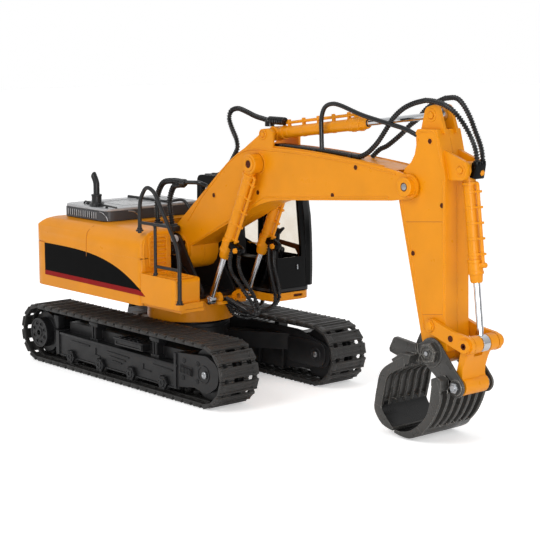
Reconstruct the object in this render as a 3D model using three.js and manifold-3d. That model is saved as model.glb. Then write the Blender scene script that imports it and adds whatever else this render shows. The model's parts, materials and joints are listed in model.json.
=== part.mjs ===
// A radio-controlled toy excavator with a log grab, built as separate pieces.
// Millimetres. +X is forward, +Y is the machine's left and +Z is up.
// Sizes are drawn from the middle of the two tracks' footprint, and the whole machine is then
// moved so that its origin lies on the ground below the middle of its overall length.
// "side" is -1 for the right-hand piece of a pair and +1 for the left-hand one.
import * as THREE from 'three';
import { mergeVertices } from 'three/addons/utils/BufferGeometryUtils.js';
import Module from 'manifold-3d';

const wasm = await Module();
wasm.setup();

// ---- driving dimensions ----------------------------------------------------
const GAP = 0.3;                 // clearance between neighbouring pieces
const MIDDLE_X = 113.32;         // middle of the overall length, ahead of the tracks' middle
const RIGHT = -1;
const LEFT = 1;

// Tracks
const AXLE_X = 132;              // sprocket at -AXLE_X, idler at +AXLE_X
const AXLE_Z = 29.6;
const SHOE_RADIUS = 29.6;        // outside of the shoes round an end wheel
const BAND_OUTER = 26.4;
const BAND_INNER = 24.8;
const SHOE_COUNT = 52;
const SHOE_GAP = 1.5;
const TRACK_IN = 45;             // inner edge of a track
const TRACK_OUT = 90;            // outer edge of a track
const WHEEL_RADIUS = 24.2;
const ROLLER_RADIUS = 7.3;
const ROLLER_Z = 12.8;
const ROLLER_XS = [-78, -28, 22, 72];
const FRAME_OUT = 84;            // outer face of a track frame
const FRAME_IN = 52;
const FRAME_WALL = 54.4;          // outer face of the frame's inner wall
const HUB_OUT = 87;              // outer face of the wheel hubs

// Swing
const SWING_X = 6.7;
const CHASSIS_TOP = 50;
const DRUM_RADIUS = 43;
const DRUM_BOTTOM = 57;
const DECK_Z = 77;               // underside of the upper structure

// House
const HOUSE_REAR = -156;
const HOUSE_FRONT = 28;
const HOUSE_HALF = 77;
const HOUSE_TOP = 148;
const ROOF_ROUND = 22;
const REAR_ROUND = 20;
const BODY_INNER = -41;          // inner face of the tall body on the right
const BAY_RIGHT = -27.5;         // right-hand wall of the bay that holds the boom foot
const BAY_REAR = -32;
const SHELL = 2.2;               // wall of a moulded shell

// Cab
const CAB_REAR = -22;
const CAB_FRONT = 98;
const CAB_RIGHT = 29.5;
const CAB_LEFT = 77;
const CAB_TOP = 192;
const CAB_BASE = 85;              // top of the cab's skirt
const CAB_FLOOR = 88.3;           // top of the cab's floor tray

// Pivots of the digging arm, as [x, z]
const BOOM_FOOT = [9.4, 124.2];
const BOOM_TIP = [314, 208.5];
const ROD_BASE = [65.5, 82];         // lower pin of a boom cylinder
const TUBE_TOP = [126.5, 215];       // upper boss of a boom cylinder
const ARM_CYL_REAR = [133.8, 241.8]; // arm cylinder on the boom
const ARM_CYL_FRONT = [330.5, 267];  // arm cylinder on the arm
const GRAB_CYL_TOP = [364, 225];     // grab cylinder on the arm
const LEVER_PIN = [342, 97];         // levers on the arm
const LINK_PIN = [381, 86];          // levers, grab cylinder and push link
const JAW_PIN = [344, 75];           // both jaws on the arm
const CRANK_PIN = [371.2, 50.4];      // push link on the front jaw

const BOOM_HALF = 17;
const ARM_HALF = 14;
const PLATE = 2.4;                   // side plate of the boom and the arm
const JAW_HALF = 28.4;
const CRANK_OUT = 18.8;              // outer face of the front jaw's cranks
const LEVER_OUT = 18.4;              // outer face of the levers and the rear jaw's ears
const RIB_COUNT = 7;
const RIB_WIDTH = 3.2;

// ---- materials -------------------------------------------------------------
function paint(color, roughness, metalness = 0) {
  return new THREE.MeshStandardMaterial({ color, roughness, metalness });
}
const yellow = () => paint(0xf5a623, 0.38);
const black = () => paint(0x1b1b1c, 0.55);
const glossBlack = () => paint(0x0e0e10, 0.2);
const rubber = () => paint(0x262524, 0.8);
const gunmetal = () => paint(0x4b4b48, 0.45, 0.3);
const chrome = () => paint(0xd8dadc, 0.15, 1);
const grey = () => paint(0x6d7073, 0.5);
const steel = () => paint(0xa9abad, 0.35, 1);
const green = () => paint(0x1e6b3a, 0.5);
const blue = () => paint(0x28509a, 0.5);

// ---- solids ----------------------------------------------------------------
// Makes a solid that can be joined and cut from a closed geometry.
function solid(geometry) {
  geometry.deleteAttribute('normal');
  geometry.deleteAttribute('uv');
  const merged = mergeVertices(geometry, 1e-4);
  const corners = merged.index.array;
  const kept = [];
  for (let i = 0; i < corners.length; i += 3) {
    const [a, b, c] = corners.slice(i, i + 3);
    if (a !== b && b !== c && c !== a) kept.push(a, b, c);
  }
  return new wasm.Manifold(new wasm.Mesh({
    numProp: 3,
    vertProperties: merged.attributes.position.array,
    triVerts: new Uint32Array(kept),
  }));
}

function join(first, ...others) {
  return others.flat().reduce((sum, other) => sum.add(other), first);
}

function cut(first, ...others) {
  return others.flat().reduce((rest, other) => rest.subtract(other), first);
}

// A closed outline through [a, b, radius] corners. A corner with a radius is rounded.
function outline(corners) {
  const shape = new THREE.Shape();
  corners.forEach((entry, i) => {
    const radius = entry[2] ?? 0;
    const corner = new THREE.Vector2(entry[0], entry[1]);
    const previous = corners[(i + corners.length - 1) % corners.length];
    const next = corners[(i + 1) % corners.length];
    const back = new THREE.Vector2(previous[0], previous[1]).sub(corner).normalize();
    const ahead = new THREE.Vector2(next[0], next[1]).sub(corner).normalize();
    const half = Math.acos(THREE.MathUtils.clamp(back.dot(ahead), -1, 1)) / 2;
    const reach = radius / Math.tan(half);
    const start = corner.clone().addScaledVector(back, reach);
    const end = corner.clone().addScaledVector(ahead, reach);
    if (i === 0) shape.moveTo(start.x, start.y);
    else shape.lineTo(start.x, start.y);
    if (radius > 0) shape.quadraticCurveTo(corner.x, corner.y, end.x, end.y);
  });
  shape.closePath();
  return shape;
}

function rectangle(a0, a1, b0, b1, radius = 0) {
  return outline([[a0, b0, radius], [a1, b0, radius], [a1, b1, radius], [a0, b1, radius]]);
}

// The outline round a tapered bar between two round ends, each given as [a, b, radius].
function strap(first, second) {
  const [a0, b0, r0] = first;
  const [a1, b1, r1] = second;
  const span = Math.hypot(a1 - a0, b1 - b0);
  const heading = Math.atan2(b1 - b0, a1 - a0);
  const lean = Math.acos((r0 - r1) / span);
  const shape = new THREE.Shape();
  shape.absarc(a0, b0, r0, heading + lean, heading - lean + Math.PI * 2);
  shape.absarc(a1, b1, r1, heading - lean, heading + lean);
  shape.closePath();
  return shape;
}

function extrude(shape, depth, curveSegments) {
  return new THREE.ExtrudeGeometry(shape, { depth, bevelEnabled: false, curveSegments });
}

// An outline drawn in (x, z), with its thickness between y0 and y1.
function sidePlate(shape, ya, yb, curveSegments = 4) {
  const y0 = Math.min(ya, yb);
  const y1 = Math.max(ya, yb);
  const geometry = extrude(shape, y1 - y0, curveSegments);
  geometry.rotateX(Math.PI / 2);
  geometry.translate(0, y1, 0);
  return solid(geometry);
}

// An outline drawn in (x, y), with its thickness between z0 and z1.
function flatPlate(shape, z0, z1, curveSegments = 4) {
  const geometry = extrude(shape, z1 - z0, curveSegments);
  geometry.translate(0, 0, z0);
  return solid(geometry);
}

// An outline drawn in (y, z), with its thickness between x0 and x1.
function crossPlate(shape, x0, x1, curveSegments = 4) {
  const geometry = extrude(shape, x1 - x0, curveSegments);
  const turn = new THREE.Matrix4().makeBasis(
    new THREE.Vector3(0, 1, 0), new THREE.Vector3(0, 0, 1), new THREE.Vector3(1, 0, 0));
  geometry.applyMatrix4(turn);
  geometry.translate(x0, 0, 0);
  return solid(geometry);
}

function block(x0, x1, ya, yb, z0, z1) {
  const geometry = new THREE.BoxGeometry(x1 - x0, Math.abs(yb - ya), z1 - z0);
  geometry.translate((x0 + x1) / 2, (ya + yb) / 2, (z0 + z1) / 2);
  return solid(geometry);
}

// A round bar between two points; it may taper to endRadius.
function bar(from, to, radius, sides = 10, endRadius = radius) {
  const start = new THREE.Vector3(...from);
  const end = new THREE.Vector3(...to);
  const along = end.clone().sub(start);
  const geometry = new THREE.CylinderGeometry(endRadius, radius, along.length(), sides);
  geometry.rotateY(Math.PI / sides);
  const turn = new THREE.Quaternion().setFromUnitVectors(
    new THREE.Vector3(0, 1, 0), along.clone().normalize());
  geometry.applyQuaternion(turn);
  const middle = start.add(end).multiplyScalar(0.5);
  geometry.translate(middle.x, middle.y, middle.z);
  return solid(geometry);
}

// A round bar along Y at pivot [x, z].
function pin(pivot, radius, ya, yb, sides = 12) {
  return bar([pivot[0], Math.min(ya, yb), pivot[1]], [pivot[0], Math.max(ya, yb), pivot[1]], radius, sides);
}

// A round bar along Z at [x, y].
function post(x, y, radius, z0, z1, sides = 12) {
  return bar([x, y, z0], [x, y, z1], radius, sides);
}

// A round pipe through points; corners are straight runs joined by short bends.
function pipe(points, radius, sides = 6, bend = 4) {
  const path = new THREE.CurvePath();
  const corners = points.map((point) => new THREE.Vector3(...point));
  let start = corners[0];
  for (let i = 1; i < corners.length; i += 1) {
    const corner = corners[i];
    const next = corners[i + 1];
    if (!next) {
      path.add(new THREE.LineCurve3(start, corner));
      break;
    }
    const back = start.clone().sub(corner);
    const ahead = next.clone().sub(corner);
    const reach = Math.min(bend, back.length() * 0.45, ahead.length() * 0.45);
    const enter = corner.clone().addScaledVector(back.normalize(), reach);
    const leave = corner.clone().addScaledVector(ahead.normalize(), reach);
    path.add(new THREE.LineCurve3(start, enter));
    path.add(new THREE.QuadraticBezierCurve3(enter, corner, leave));
    start = leave;
  }
  return sweep(path, radius, sides, points.length * 4 - 4);
}

// A round hose on a smooth curve through points.
function hose(points, radius, sides = 6, steps = points.length * 4) {
  return sweep(new THREE.CatmullRomCurve3(points.map((point) => new THREE.Vector3(...point))),
    radius, sides, steps);
}

function sweep(path, radius, sides, steps) {
  const ring = new THREE.Shape();
  for (let i = 0; i < sides; i += 1) {
    const angle = (i / sides) * Math.PI * 2;
    if (i === 0) ring.moveTo(radius, 0);
    else ring.lineTo(radius * Math.cos(angle), radius * Math.sin(angle));
  }
  ring.closePath();
  return solid(new THREE.ExtrudeGeometry(ring, { steps, extrudePath: path, bevelEnabled: false }));
}

// The point at a distance and a sideways offset from pivot a on the line to pivot b.
function along(a, b, distance, sideways = 0) {
  const span = Math.hypot(b[0] - a[0], b[1] - a[1]);
  const ux = (b[0] - a[0]) / span;
  const uz = (b[1] - a[1]) / span;
  return [a[0] + ux * distance - uz * sideways, a[1] + uz * distance + ux * sideways];
}

function at(point, y) {
  return [point[0], y, point[1]];
}

const machine = new THREE.Group();

function addPiece(name, shape, material, parent = machine) {
  const mesh = shape.getMesh();
  const geometry = new THREE.BufferGeometry();
  geometry.setAttribute('position', new THREE.BufferAttribute(mesh.vertProperties, 3));
  geometry.setIndex(new THREE.BufferAttribute(mesh.triVerts, 1));
  geometry.computeVertexNormals();
  const piece = new THREE.Mesh(geometry, material);
  piece.name = name;
  parent.add(piece);
  return piece;
}

function sideName(name, side) {
  return `${name}_${side === RIGHT ? 'right' : 'left'}`;
}

// ---- tracks ----------------------------------------------------------------
// The point at a distance along the belt loop and an offset from its axle-height line.
function beltPoint(distance, radius) {
  const straight = AXLE_X * 2;
  const bend = Math.PI * BAND_OUTER;
  const run = distance % ((straight + bend) * 2);
  if (run < straight) return [run - AXLE_X, AXLE_Z + radius];
  if (run < straight + bend) {
    const angle = Math.PI / 2 - (run - straight) / BAND_OUTER;
    return [AXLE_X + radius * Math.cos(angle), AXLE_Z + radius * Math.sin(angle)];
  }
  if (run < straight * 2 + bend) return [AXLE_X - (run - straight - bend), AXLE_Z - radius];
  const angle = -Math.PI / 2 - (run - straight * 2 - bend) / BAND_OUTER;
  return [-AXLE_X + radius * Math.cos(angle), AXLE_Z + radius * Math.sin(angle)];
}

function trackBelt(side) {
  const pitch = (AXLE_X * 4 + Math.PI * 2 * BAND_OUTER) / SHOE_COUNT;
  const points = [];
  for (let i = 0; i < SHOE_COUNT; i += 1) {
    const start = i * pitch + SHOE_GAP / 2;
    const end = (i + 1) * pitch - SHOE_GAP / 2;
    points.push(beltPoint(start, BAND_OUTER), beltPoint(start, SHOE_RADIUS));
    points.push(beltPoint(end, SHOE_RADIUS), beltPoint(end, BAND_OUTER));
  }
  const shape = outline(points);
  const inside = new THREE.Path();
  inside.absarc(AXLE_X, AXLE_Z, BAND_INNER, -Math.PI / 2, Math.PI / 2);
  inside.absarc(-AXLE_X, AXLE_Z, BAND_INNER, Math.PI / 2, Math.PI * 1.5);
  inside.closePath();
  shape.holes.push(inside);
  return sidePlate(shape, side * TRACK_IN, side * TRACK_OUT, 10);
}

// Drive wheel: a toothed drum with a narrower hub that has a ring of holes.
function sprocket(side) {
  const toothCount = 12;
  const toothDepth = 2.6;
  const rim = outline(Array.from({ length: toothCount * 4 }, (_, i) => {
    const angle = ((i + 0.5) / (toothCount * 4)) * Math.PI * 2;
    const radius = i % 4 < 2 ? WHEEL_RADIUS : WHEEL_RADIUS - toothDepth;
    return [-AXLE_X + radius * Math.cos(angle), AXLE_Z + radius * Math.sin(angle)];
  }));
  const centre = [-AXLE_X, AXLE_Z];
  const holes = [
    pin(centre, 2.6, side * 83, side * (HUB_OUT + 1), 8),
    pin(centre, 4.4, side * 50, side * 60),
  ];
  for (let i = 0; i < 6; i += 1) {
    const angle = (i / 6) * Math.PI * 2;
    const hole = [centre[0] + 10 * Math.cos(angle), centre[1] + 10 * Math.sin(angle)];
    holes.push(pin(hole, 1.8, side * 84.5, side * (HUB_OUT + 1), 5));
  }
  return cut(join(
    sidePlate(rim, side * 74, side * 60),
    pin(centre, 20.5, side * 78, side * 73.5, 18),
    pin(centre, 15, side * HUB_OUT, side * 77.5, 16),
    pin(centre, 13, side * 60.5, side * (FRAME_WALL + GAP)),
  ), holes);
}

function idler(side) {
  const centre = [AXLE_X, AXLE_Z];
  return join(
    pin(centre, WHEEL_RADIUS, side * 78, side * 71, 24),
    pin(centre, 19, side * 71.5, side * 65, 16),
    pin(centre, WHEEL_RADIUS, side * 65.5, side * 58, 24),
    pin(centre, 3, side * (FRAME_OUT + 1.8), side * 77, 8),
    pin(centre, 8, side * 58.5, side * (FRAME_WALL + 0.6), 10),
  );
}

// Bottom roller, drawn at the origin: hub with petals, axle and wheel.
function roller(side) {
  const petals = outline(Array.from({ length: 12 }, (_, i) => {
    const angle = (i / 12) * Math.PI * 2;
    const radius = i % 2 === 0 ? ROLLER_RADIUS : ROLLER_RADIUS - 1.4;
    return [radius * Math.cos(angle), radius * Math.sin(angle)];
  }));
  return join(
    sidePlate(petals, side * HUB_OUT, side * (FRAME_OUT + GAP)),
    pin([0, 0], 2.4, side * (FRAME_OUT + 1), side * 80, 8),
    pin([0, 0], ROLLER_RADIUS, side * 80.5, side * 58, 12),
  );
}

// Side frame of a track: beam, end plates, posts under the top run and a small step box.
function trackFrame(side) {
  const out = side * FRAME_OUT;
  const beam = sidePlate(outline([
    [-99, 12], [94, 10], [94, 32], [-92, 34.5], [-99, 34.5],
  ]), out, side * FRAME_IN);
  const wells = ROLLER_XS.map((x) => block(x - 9, x + 9, side * 81.6, side * 56.5, 0, 21.5));
  const slots = ROLLER_XS.map((x) => block(x - 2.8, x + 2.8, side * 79, side * 86, 0, ROLLER_Z + 2.8));
  const innerWall = sidePlate(outline([
    [-150, 20, 8], [-104, 12], [104, 12], [150, 20, 8], [150, 39, 8], [104, 50], [-104, 50], [-150, 39, 8],
  ]), side * FRAME_WALL, side * FRAME_IN, 2);
  const deck = block(-96, 92, side * 74, side * FRAME_IN, 33, 44);
  const posts = [-43, 55].map((x) => join(
    block(x - 6, x + 6, side * 82, side * 70, 30, 36),
    block(x - 3, x + 3, side * 81, side * 70, 30, 52),
    block(x - 6, x + 6, side * 82, side * 70, 48, 52.5),
  ));
  const step = block(-6, 38, side * 83.5, side * 70, 36, 42.5);
  const fin = block(88, 91, side * (FRAME_OUT + 1.5), side * 60, 10, 43.5);
  const idlerPlate = cut(sidePlate(outline([
    [90, 12], [116, 15.5], [134, 12, 11], [150, 22, 11], [150, 40, 11], [134, 47, 11], [90, 44],
  ]), out, side * 80.5), pin([AXLE_X, AXLE_Z], 3.5, side * 79, side * 86, 12));
  const springHousing = sidePlate(outline([[95, 26], [113, 25], [113, 33], [95, 34]]),
    side * (FRAME_OUT + 0.8), side * 83);
  const sprocketGuard = sidePlate(outline([
    [-104, 12], [-99, 12], [-99, 36], [-104, 36],
  ]), side * (FRAME_OUT + 1.5), side * FRAME_IN);
  const wheelBay = block(94, 102, side * 80, side * FRAME_IN, 12, 44);
  const sprocketBore = pin([-AXLE_X, AXLE_Z], 5, side * 50, side * 56);
  return cut(join(
    beam, innerWall, deck, posts, step, fin, idlerPlate, springHousing, sprocketGuard, wheelBay,
  ), wells, slots, sprocketBore);
}

// Geared motor between the tracks, behind the centre frame, driving one sprocket.
function driveMotor(side) {
  const inner = side * 20;
  const outer = side * (FRAME_IN - GAP);
  return join(
    sidePlate(rectangle(-146, -98, 20, 40, 5), outer, side * 34),
    bar([-112, side * 27, 31], [-74, side * 27, 31], 7.5, 14),
    block(-122, -108, inner, side * 36, 22, 39),
    pin([-AXLE_X, AXLE_Z], 4, outer, side * 58, 12),
  );
}

// Centre frame: a hub with four legs that reach the track frames.
function chassisFrame() {
  const hub = post(SWING_X, 0, 38, 26, CHASSIS_TOP, 24);
  const legs = [[-70, RIGHT], [-70, LEFT], [82, RIGHT], [82, LEFT]].map(([x, side]) => {
    const end = side * (FRAME_IN - GAP);
    const reach = x < 0 ? [x - 12, x + 14] : [x - 14, x + 12];
    return flatPlate(outline([
      [SWING_X - 16, side * 8], [reach[0], end], [reach[1], end], [SWING_X + 16, side * 8],
    ]), 28, 44);
  });
  const belly = block(-60, 72, -20, 20, 22, 30);
  return join(hub, legs, belly);
}

// ---- swing -----------------------------------------------------------------
function swingBearing() {
  return cut(join(
    post(SWING_X, 0, 38, CHASSIS_TOP + GAP, 54, 24),
    post(SWING_X, 0, 34, 53, DRUM_BOTTOM - GAP, 24),
    post(SWING_X, 0, 15, 52, DECK_Z - 1, 14),
  ), post(SWING_X, 0, 11, 40, DECK_Z, 10));
}

function turntableDrum() {
  return cut(
    post(SWING_X, 0, DRUM_RADIUS, DRUM_BOTTOM, DECK_Z, 32),
    post(SWING_X, 0, DRUM_RADIUS - 3, DRUM_BOTTOM - 1, DECK_Z - 3, 24),
    post(SWING_X, 0, 18, DECK_Z - 5, DECK_Z + 1, 14),
  );
}

// ---- upper structure -------------------------------------------------------
// Floor of the upper structure, with a tongue that carries the lower pins of the boom cylinders.
function houseFloor() {
  const top = DECK_Z + 3.2;
  const plate = flatPlate(outline([
    [HOUSE_REAR + 6, -HOUSE_HALF + 4, 18], [84, -HOUSE_HALF + 4], [84, -46], [56, -30],
    [56, -17.5], [72, -17.5, 4], [72, 17.5, 4], [56, 17.5], [56, CAB_RIGHT - 1], [CAB_REAR - 2, CAB_RIGHT - 1],
    [CAB_REAR - 2, HOUSE_HALF - 4], [HOUSE_REAR + 6, HOUSE_HALF - 4, 18],
  ]), DECK_Z + GAP, top);
  const lugs = [RIGHT, LEFT].map((side) => sidePlate(
    strap([ROD_BASE[0] - 6, top, 5], [ROD_BASE[0], ROD_BASE[1] + 1, 5.5]), side * 16.8, side * 12, 3));
  const pinHoles = [RIGHT, LEFT].map((side) => pin(ROD_BASE, 2.7, side * 20, side * 10, 8));
  const well = post(SWING_X, 0, 14, DECK_Z - 1, top + 1, 12);
  return cut(join(plate, lugs), well, pinHoles);
}

function houseBody(inset, bottom) {
  const side = sidePlate(outline([
    [HOUSE_REAR + 3 + inset, bottom], [HOUSE_FRONT - inset, bottom],
    [HOUSE_FRONT - inset, HOUSE_TOP - inset, 6], [HOUSE_REAR + inset, HOUSE_TOP - inset, 32],
    [HOUSE_REAR + inset, 118], [HOUSE_REAR - 1.5 + inset, 92, 6],
  ]), -HOUSE_HALF - 5, HOUSE_HALF + 5, 6);
  const cross = crossPlate(outline([
    [-HOUSE_HALF + inset, bottom - 1], [HOUSE_HALF - inset, bottom - 1],
    [HOUSE_HALF - inset, HOUSE_TOP - inset, ROOF_ROUND], [-HOUSE_HALF + inset, HOUSE_TOP - inset, ROOF_ROUND],
  ]), HOUSE_REAR - 5, HOUSE_FRONT + 5, 6);
  const plan = flatPlate(outline([
    [HOUSE_REAR - 1.5 + inset, -HOUSE_HALF + inset, REAR_ROUND], [HOUSE_FRONT - inset, -HOUSE_HALF + inset, 6],
    [HOUSE_FRONT - inset, BODY_INNER - inset], [4 - inset, BODY_INNER - inset],
    [4 - inset, BAY_RIGHT - inset], [BAY_REAR - inset, BAY_RIGHT - inset],
    [BAY_REAR - inset, CAB_RIGHT], [CAB_REAR - 2 - inset, CAB_RIGHT], [CAB_REAR - 2 - inset, HOUSE_HALF - inset],
    [HOUSE_REAR - 1.5 + inset, HOUSE_HALF - inset, REAR_ROUND],
  ]), bottom - 2, HOUSE_TOP + 2, 6);
  return side.intersect(cross).intersect(plan);
}

// Body shell, open underneath, with a louvred recess at the front of its right-hand side.
function houseShell() {
  const floorTop = DECK_Z + 3.2 + GAP;
  const shell = cut(houseBody(0, DECK_Z + GAP), houseBody(SHELL, DECK_Z - 5));
  const floorRoom = block(-40, HOUSE_FRONT + 2, -74.4, 74.4, 70, floorTop);
  const seam = cut(
    flatPlate(rectangle(HOUSE_REAR - 2, HOUSE_FRONT + 40, -90, 90), 121.4, 122.2),
    flatPlate(rectangle(HOUSE_REAR + 0.8, HOUSE_FRONT - 0.8, -HOUSE_HALF + 0.8, HOUSE_HALF - 0.8, REAR_ROUND),
      120, 124, 6),
  );
  const louvres = [126, 131, 136, 141].map((z) =>
    block(HOUSE_FRONT - 0.8, HOUSE_FRONT + 1, -64, -48, z, z + 1.4));
  return cut(shell, floorRoom, seam, louvres);
}

// Engine hood on top of the house, with slots along its right-hand edge.
function engineHood() {
  const z0 = HOUSE_TOP + GAP;
  const cap = flatPlate(outline([
    [-124, -60, 8], [-49, -60, 12], [-49, 58, 8], [-124, 58, 8],
  ]), z0, 158);
  const crown = flatPlate(outline([
    [-121, -56, 7], [-53, -56, 11], [-53, 54, 7], [-121, 54, 7],
  ]), 157, 160);
  const slots = Array.from({ length: 6 }, (_, i) => block(
    -113 + i * 7, -110 + i * 7, -62, -57.5, z0 + 1.5, 156));
  return cut(join(cap, crown), slots);
}

function exhaustPipe() {
  const [x, y] = [-79, -49];
  return cut(join(
    post(x, y, 5.5, 161, 172, 10),
    post(x, y, 3.2, 171, 184, 8),
    bar([x, y, 183.2], [x - 6.5, y, 192], 3.2, 8),
    post(x, y, 7, 160 + GAP, 163, 10),
  ), bar([x - 5, y, 190], [x - 8, y, 194], 2.4, 6));
}

// Toolbox in front of the house on the right, with a ledge at its foot.
function toolbox() {
  const rear = HOUSE_FRONT + GAP;
  const body = sidePlate(outline([
    [rear, DECK_Z + 3.5], [80, DECK_Z + 3.5], [80, 108, 6], [rear, 108.6],
  ]), -HOUSE_HALF, -46);
  const plan = flatPlate(outline([
    [rear, -HOUSE_HALF], [80, -HOUSE_HALF, 7], [80, -46, 4], [rear, -46],
  ]), 70, 125);
  const ledge = block(58, 84, -HOUSE_HALF + 1, -47, DECK_Z + 3.5, 86);
  const foot = block(79, 85.5, -76.5, -69.5, DECK_Z + 3.5, 85.5);
  const socket = post(82, -73, 2.5, 82, 90, 8);
  const postSocket = post(46, -73, 2.2, 100, 120, 8);
  return cut(join(body.intersect(plan), ledge, foot), socket, postSocket);
}

// Grab rail beside the steps: a tall hoop with a post and two cross bars.
function handrail() {
  const y = -73;
  const hoop = pipe([
    [22, y, HOUSE_TOP - 2], [23, y, 178], [33, y, 191], [45, y, 187], [79, y, 138], [82, y, 124], [82, y, 82.5],
  ], 1.9, 5, 9);
  const inner = pipe([[22.5, y, 156], [46, y, 156], [46, y, 101]], 1.5, 4, 3);
  const brace = pipe([[45.5, y, 156], [66, y, 156]], 1.5, 4);
  const lower = pipe([[46, y, 117], [82, y, 117]], 1.5, 4);
  return join(hoop, inner, brace, lower);
}

// Low rail along the top of the engine hood, bent down to the house at its front end.
function hoodRail() {
  const y = 20;
  const z = 160 + GAP + 1.4;
  return pipe([[-122, y, z], [-56, y, z], [-28, y, z + 5], [-13, y, 151]], 1.4, 5, 8);
}

// Two ribbed hoses that rise from the house behind the boom foot and turn forward.
function houseHoses() {
  const y = -21.5;
  const clamp = block(-24, 14, BAY_RIGHT + GAP, y + 3, HOUSE_TOP - 6, HOUSE_TOP - 1);
  const rear = hose([[-16, y, 145], [-18, y, 173], [-8, y, 187.5], [20, y, 190.4]], 3, 6, 8);
  const front = hose([[7, y, 145], [2, y, 172], [8, y, 185.5], [20, y, 190.4]], 3, 6, 8);
  return join(clamp, rear, front);
}

// Two cheeks that hold the boom foot, on a common base.
function boomBracket() {
  const base = block(BAY_REAR + 1, 50, -26, 24, DECK_Z + 3.5, 84);
  const cheeks = [RIGHT, LEFT].map((side) => sidePlate(outline([
    [-28, 83], [-24, 118], [-2, 140, 12], [14, 140, 12], [28, 118], [50, 88], [50, 83],
  ]), side * 21, side * (BOOM_HALF + 1.2)));
  const sweepRoom = pin(BOOM_FOOT, 22, -BOOM_HALF - 1, BOOM_HALF + 1, 20);
  return cut(join(base, cheeks), pin(BOOM_FOOT, 4.3, -30, 30), sweepRoom);
}

function pivotPin(pivot, radius, half, headRadius, sides = 16) {
  return join(
    pin(pivot, radius, -half, half, sides),
    pin(pivot, headRadius, -half - 2, -half + 0.01, sides),
    pin(pivot, headRadius, half - 0.01, half + 2, sides),
  );
}

// ---- cab -------------------------------------------------------------------
function cabSkirt() {
  const base = flatPlate(outline([
    [CAB_REAR, CAB_RIGHT], [CAB_FRONT - 3, CAB_RIGHT, 9], [CAB_FRONT, CAB_LEFT, 12], [CAB_REAR, CAB_LEFT, 5],
  ]), DECK_Z + GAP, CAB_BASE);
  const notch = block(CAB_FRONT - 3, CAB_FRONT + 2, 55, 66, 80, 82.6);
  return cut(base, notch);
}

// Cab body: floor tray, pillars and roof, with open windows.
function cabShell() {
  const z0 = CAB_BASE + GAP;
  const profile = outline([
    [CAB_REAR, z0], [CAB_FRONT, z0], [CAB_FRONT, 118], [CAB_FRONT - 8, CAB_TOP, 12], [CAB_REAR + 2, CAB_TOP, 8],
  ]);
  const plan = outline([
    [CAB_REAR, CAB_RIGHT + 0.4, 3], [CAB_FRONT - 2, CAB_RIGHT + 0.4, 9], [CAB_FRONT, CAB_LEFT, 10],
    [CAB_REAR, CAB_LEFT, 6],
  ]);
  const outside = sidePlate(profile, 0, 100).intersect(flatPlate(plan, 80, 200));
  const room = sidePlate(outline([
    [CAB_REAR + 3, z0 + 3], [CAB_FRONT - 3, z0 + 3], [CAB_FRONT - 3, 118],
    [CAB_FRONT - 11, CAB_TOP - 3, 8], [CAB_REAR + 5, CAB_TOP - 3, 6],
  ]), CAB_RIGHT + 3, CAB_LEFT - 3);
  const windscreen = block(CAB_FRONT - 22, CAB_FRONT + 3, CAB_RIGHT + 6, CAB_LEFT - 13, 119, CAB_TOP - 9);
  const frontSide = sidePlate(outline([
    [30, 116, 3], [84, 116, 3], [79, CAB_TOP - 10, 4], [30, CAB_TOP - 10, 4],
  ]), CAB_RIGHT - 5, CAB_LEFT + 5, 3);
  const rearSide = sidePlate(outline([
    [-14, 128, 3], [22, 116, 3], [22, CAB_TOP - 10, 4], [-12, CAB_TOP - 10, 4],
  ]), CAB_RIGHT - 5, CAB_LEFT + 5, 3);
  const rear = block(CAB_REAR - 3, CAB_REAR + 8, CAB_RIGHT + 9, CAB_LEFT - 9, 150, CAB_TOP - 12);
  const hatch = block(8, 62, CAB_RIGHT + 9, CAB_LEFT - 9, CAB_TOP - 5, CAB_TOP + 3);
  const pillar = hose([
    [CAB_FRONT - 5, CAB_LEFT - 3, 90], [CAB_FRONT - 4.5, CAB_LEFT - 3, 118], [CAB_FRONT - 10, CAB_LEFT - 3, 172],
    [CAB_FRONT - 19, CAB_LEFT - 3, CAB_TOP - 5],
  ], 6, 8, 6);
  return cut(outside, room, windscreen, frontSide, rearSide, rear, hatch).add(pillar);
}

function cabSeat() {
  const z0 = CAB_FLOOR + GAP;
  return join(
    block(4, 34, 42, 64, z0, 104),
    sidePlate(outline([
      [2, 103], [38, 103, 2], [40, 111, 3], [14, 110, 3], [10, 150, 4], [0, 150, 4], [0, 110],
    ]), 40, 66),
    sidePlate(rectangle(2, 9, 149, 158, 2), 46, 60),
  );
}

// Steering console: pedestal, lever with a knob and two travel levers.
function cabControls() {
  const z0 = CAB_FLOOR + GAP;
  return join(
    block(52, 76, 40, 66, z0, 98),
    bar([66, 53, 97], [60, 53, 136], 2.6, 8),
    post(60, 53, 5, 134, 138, 12),
    bar([66, 46, 97], [74, 46, 122], 1.2, 6),
    bar([66, 60, 97], [74, 60, 122], 1.2, 6),
  );
}

// ---- things inside the house -------------------------------------------------
function batteryPack() {
  const z0 = DECK_Z + 3.5 + GAP;
  const cells = Array.from({ length: 4 }, (_, i) =>
    bar([-142, -27 + i * 18, z0 + 10], [-82, -27 + i * 18, z0 + 10], 9.4, 12));
  return join(block(-141, -83, -34, 34, z0, z0 + 9), cells);
}

function circuitBoard() {
  const chips = [[-80, -20, 9], [-62, 12, 12], [-50, -26, 6], [-82, 24, 7]].map(([x, y, size]) =>
    block(x - size / 2, x + size / 2, y - size / 2, y + size / 2, 116, 120));
  const legs = [[-78, -36], [-78, 36], [-42, -36], [-42, 36]].map(([x, y]) =>
    post(x, y, 2, DECK_Z + 3.5 + GAP, 115, 8));
  return join(block(-90, -38, -38, 38, 114.5, 116.2), chips, legs);
}

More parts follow.
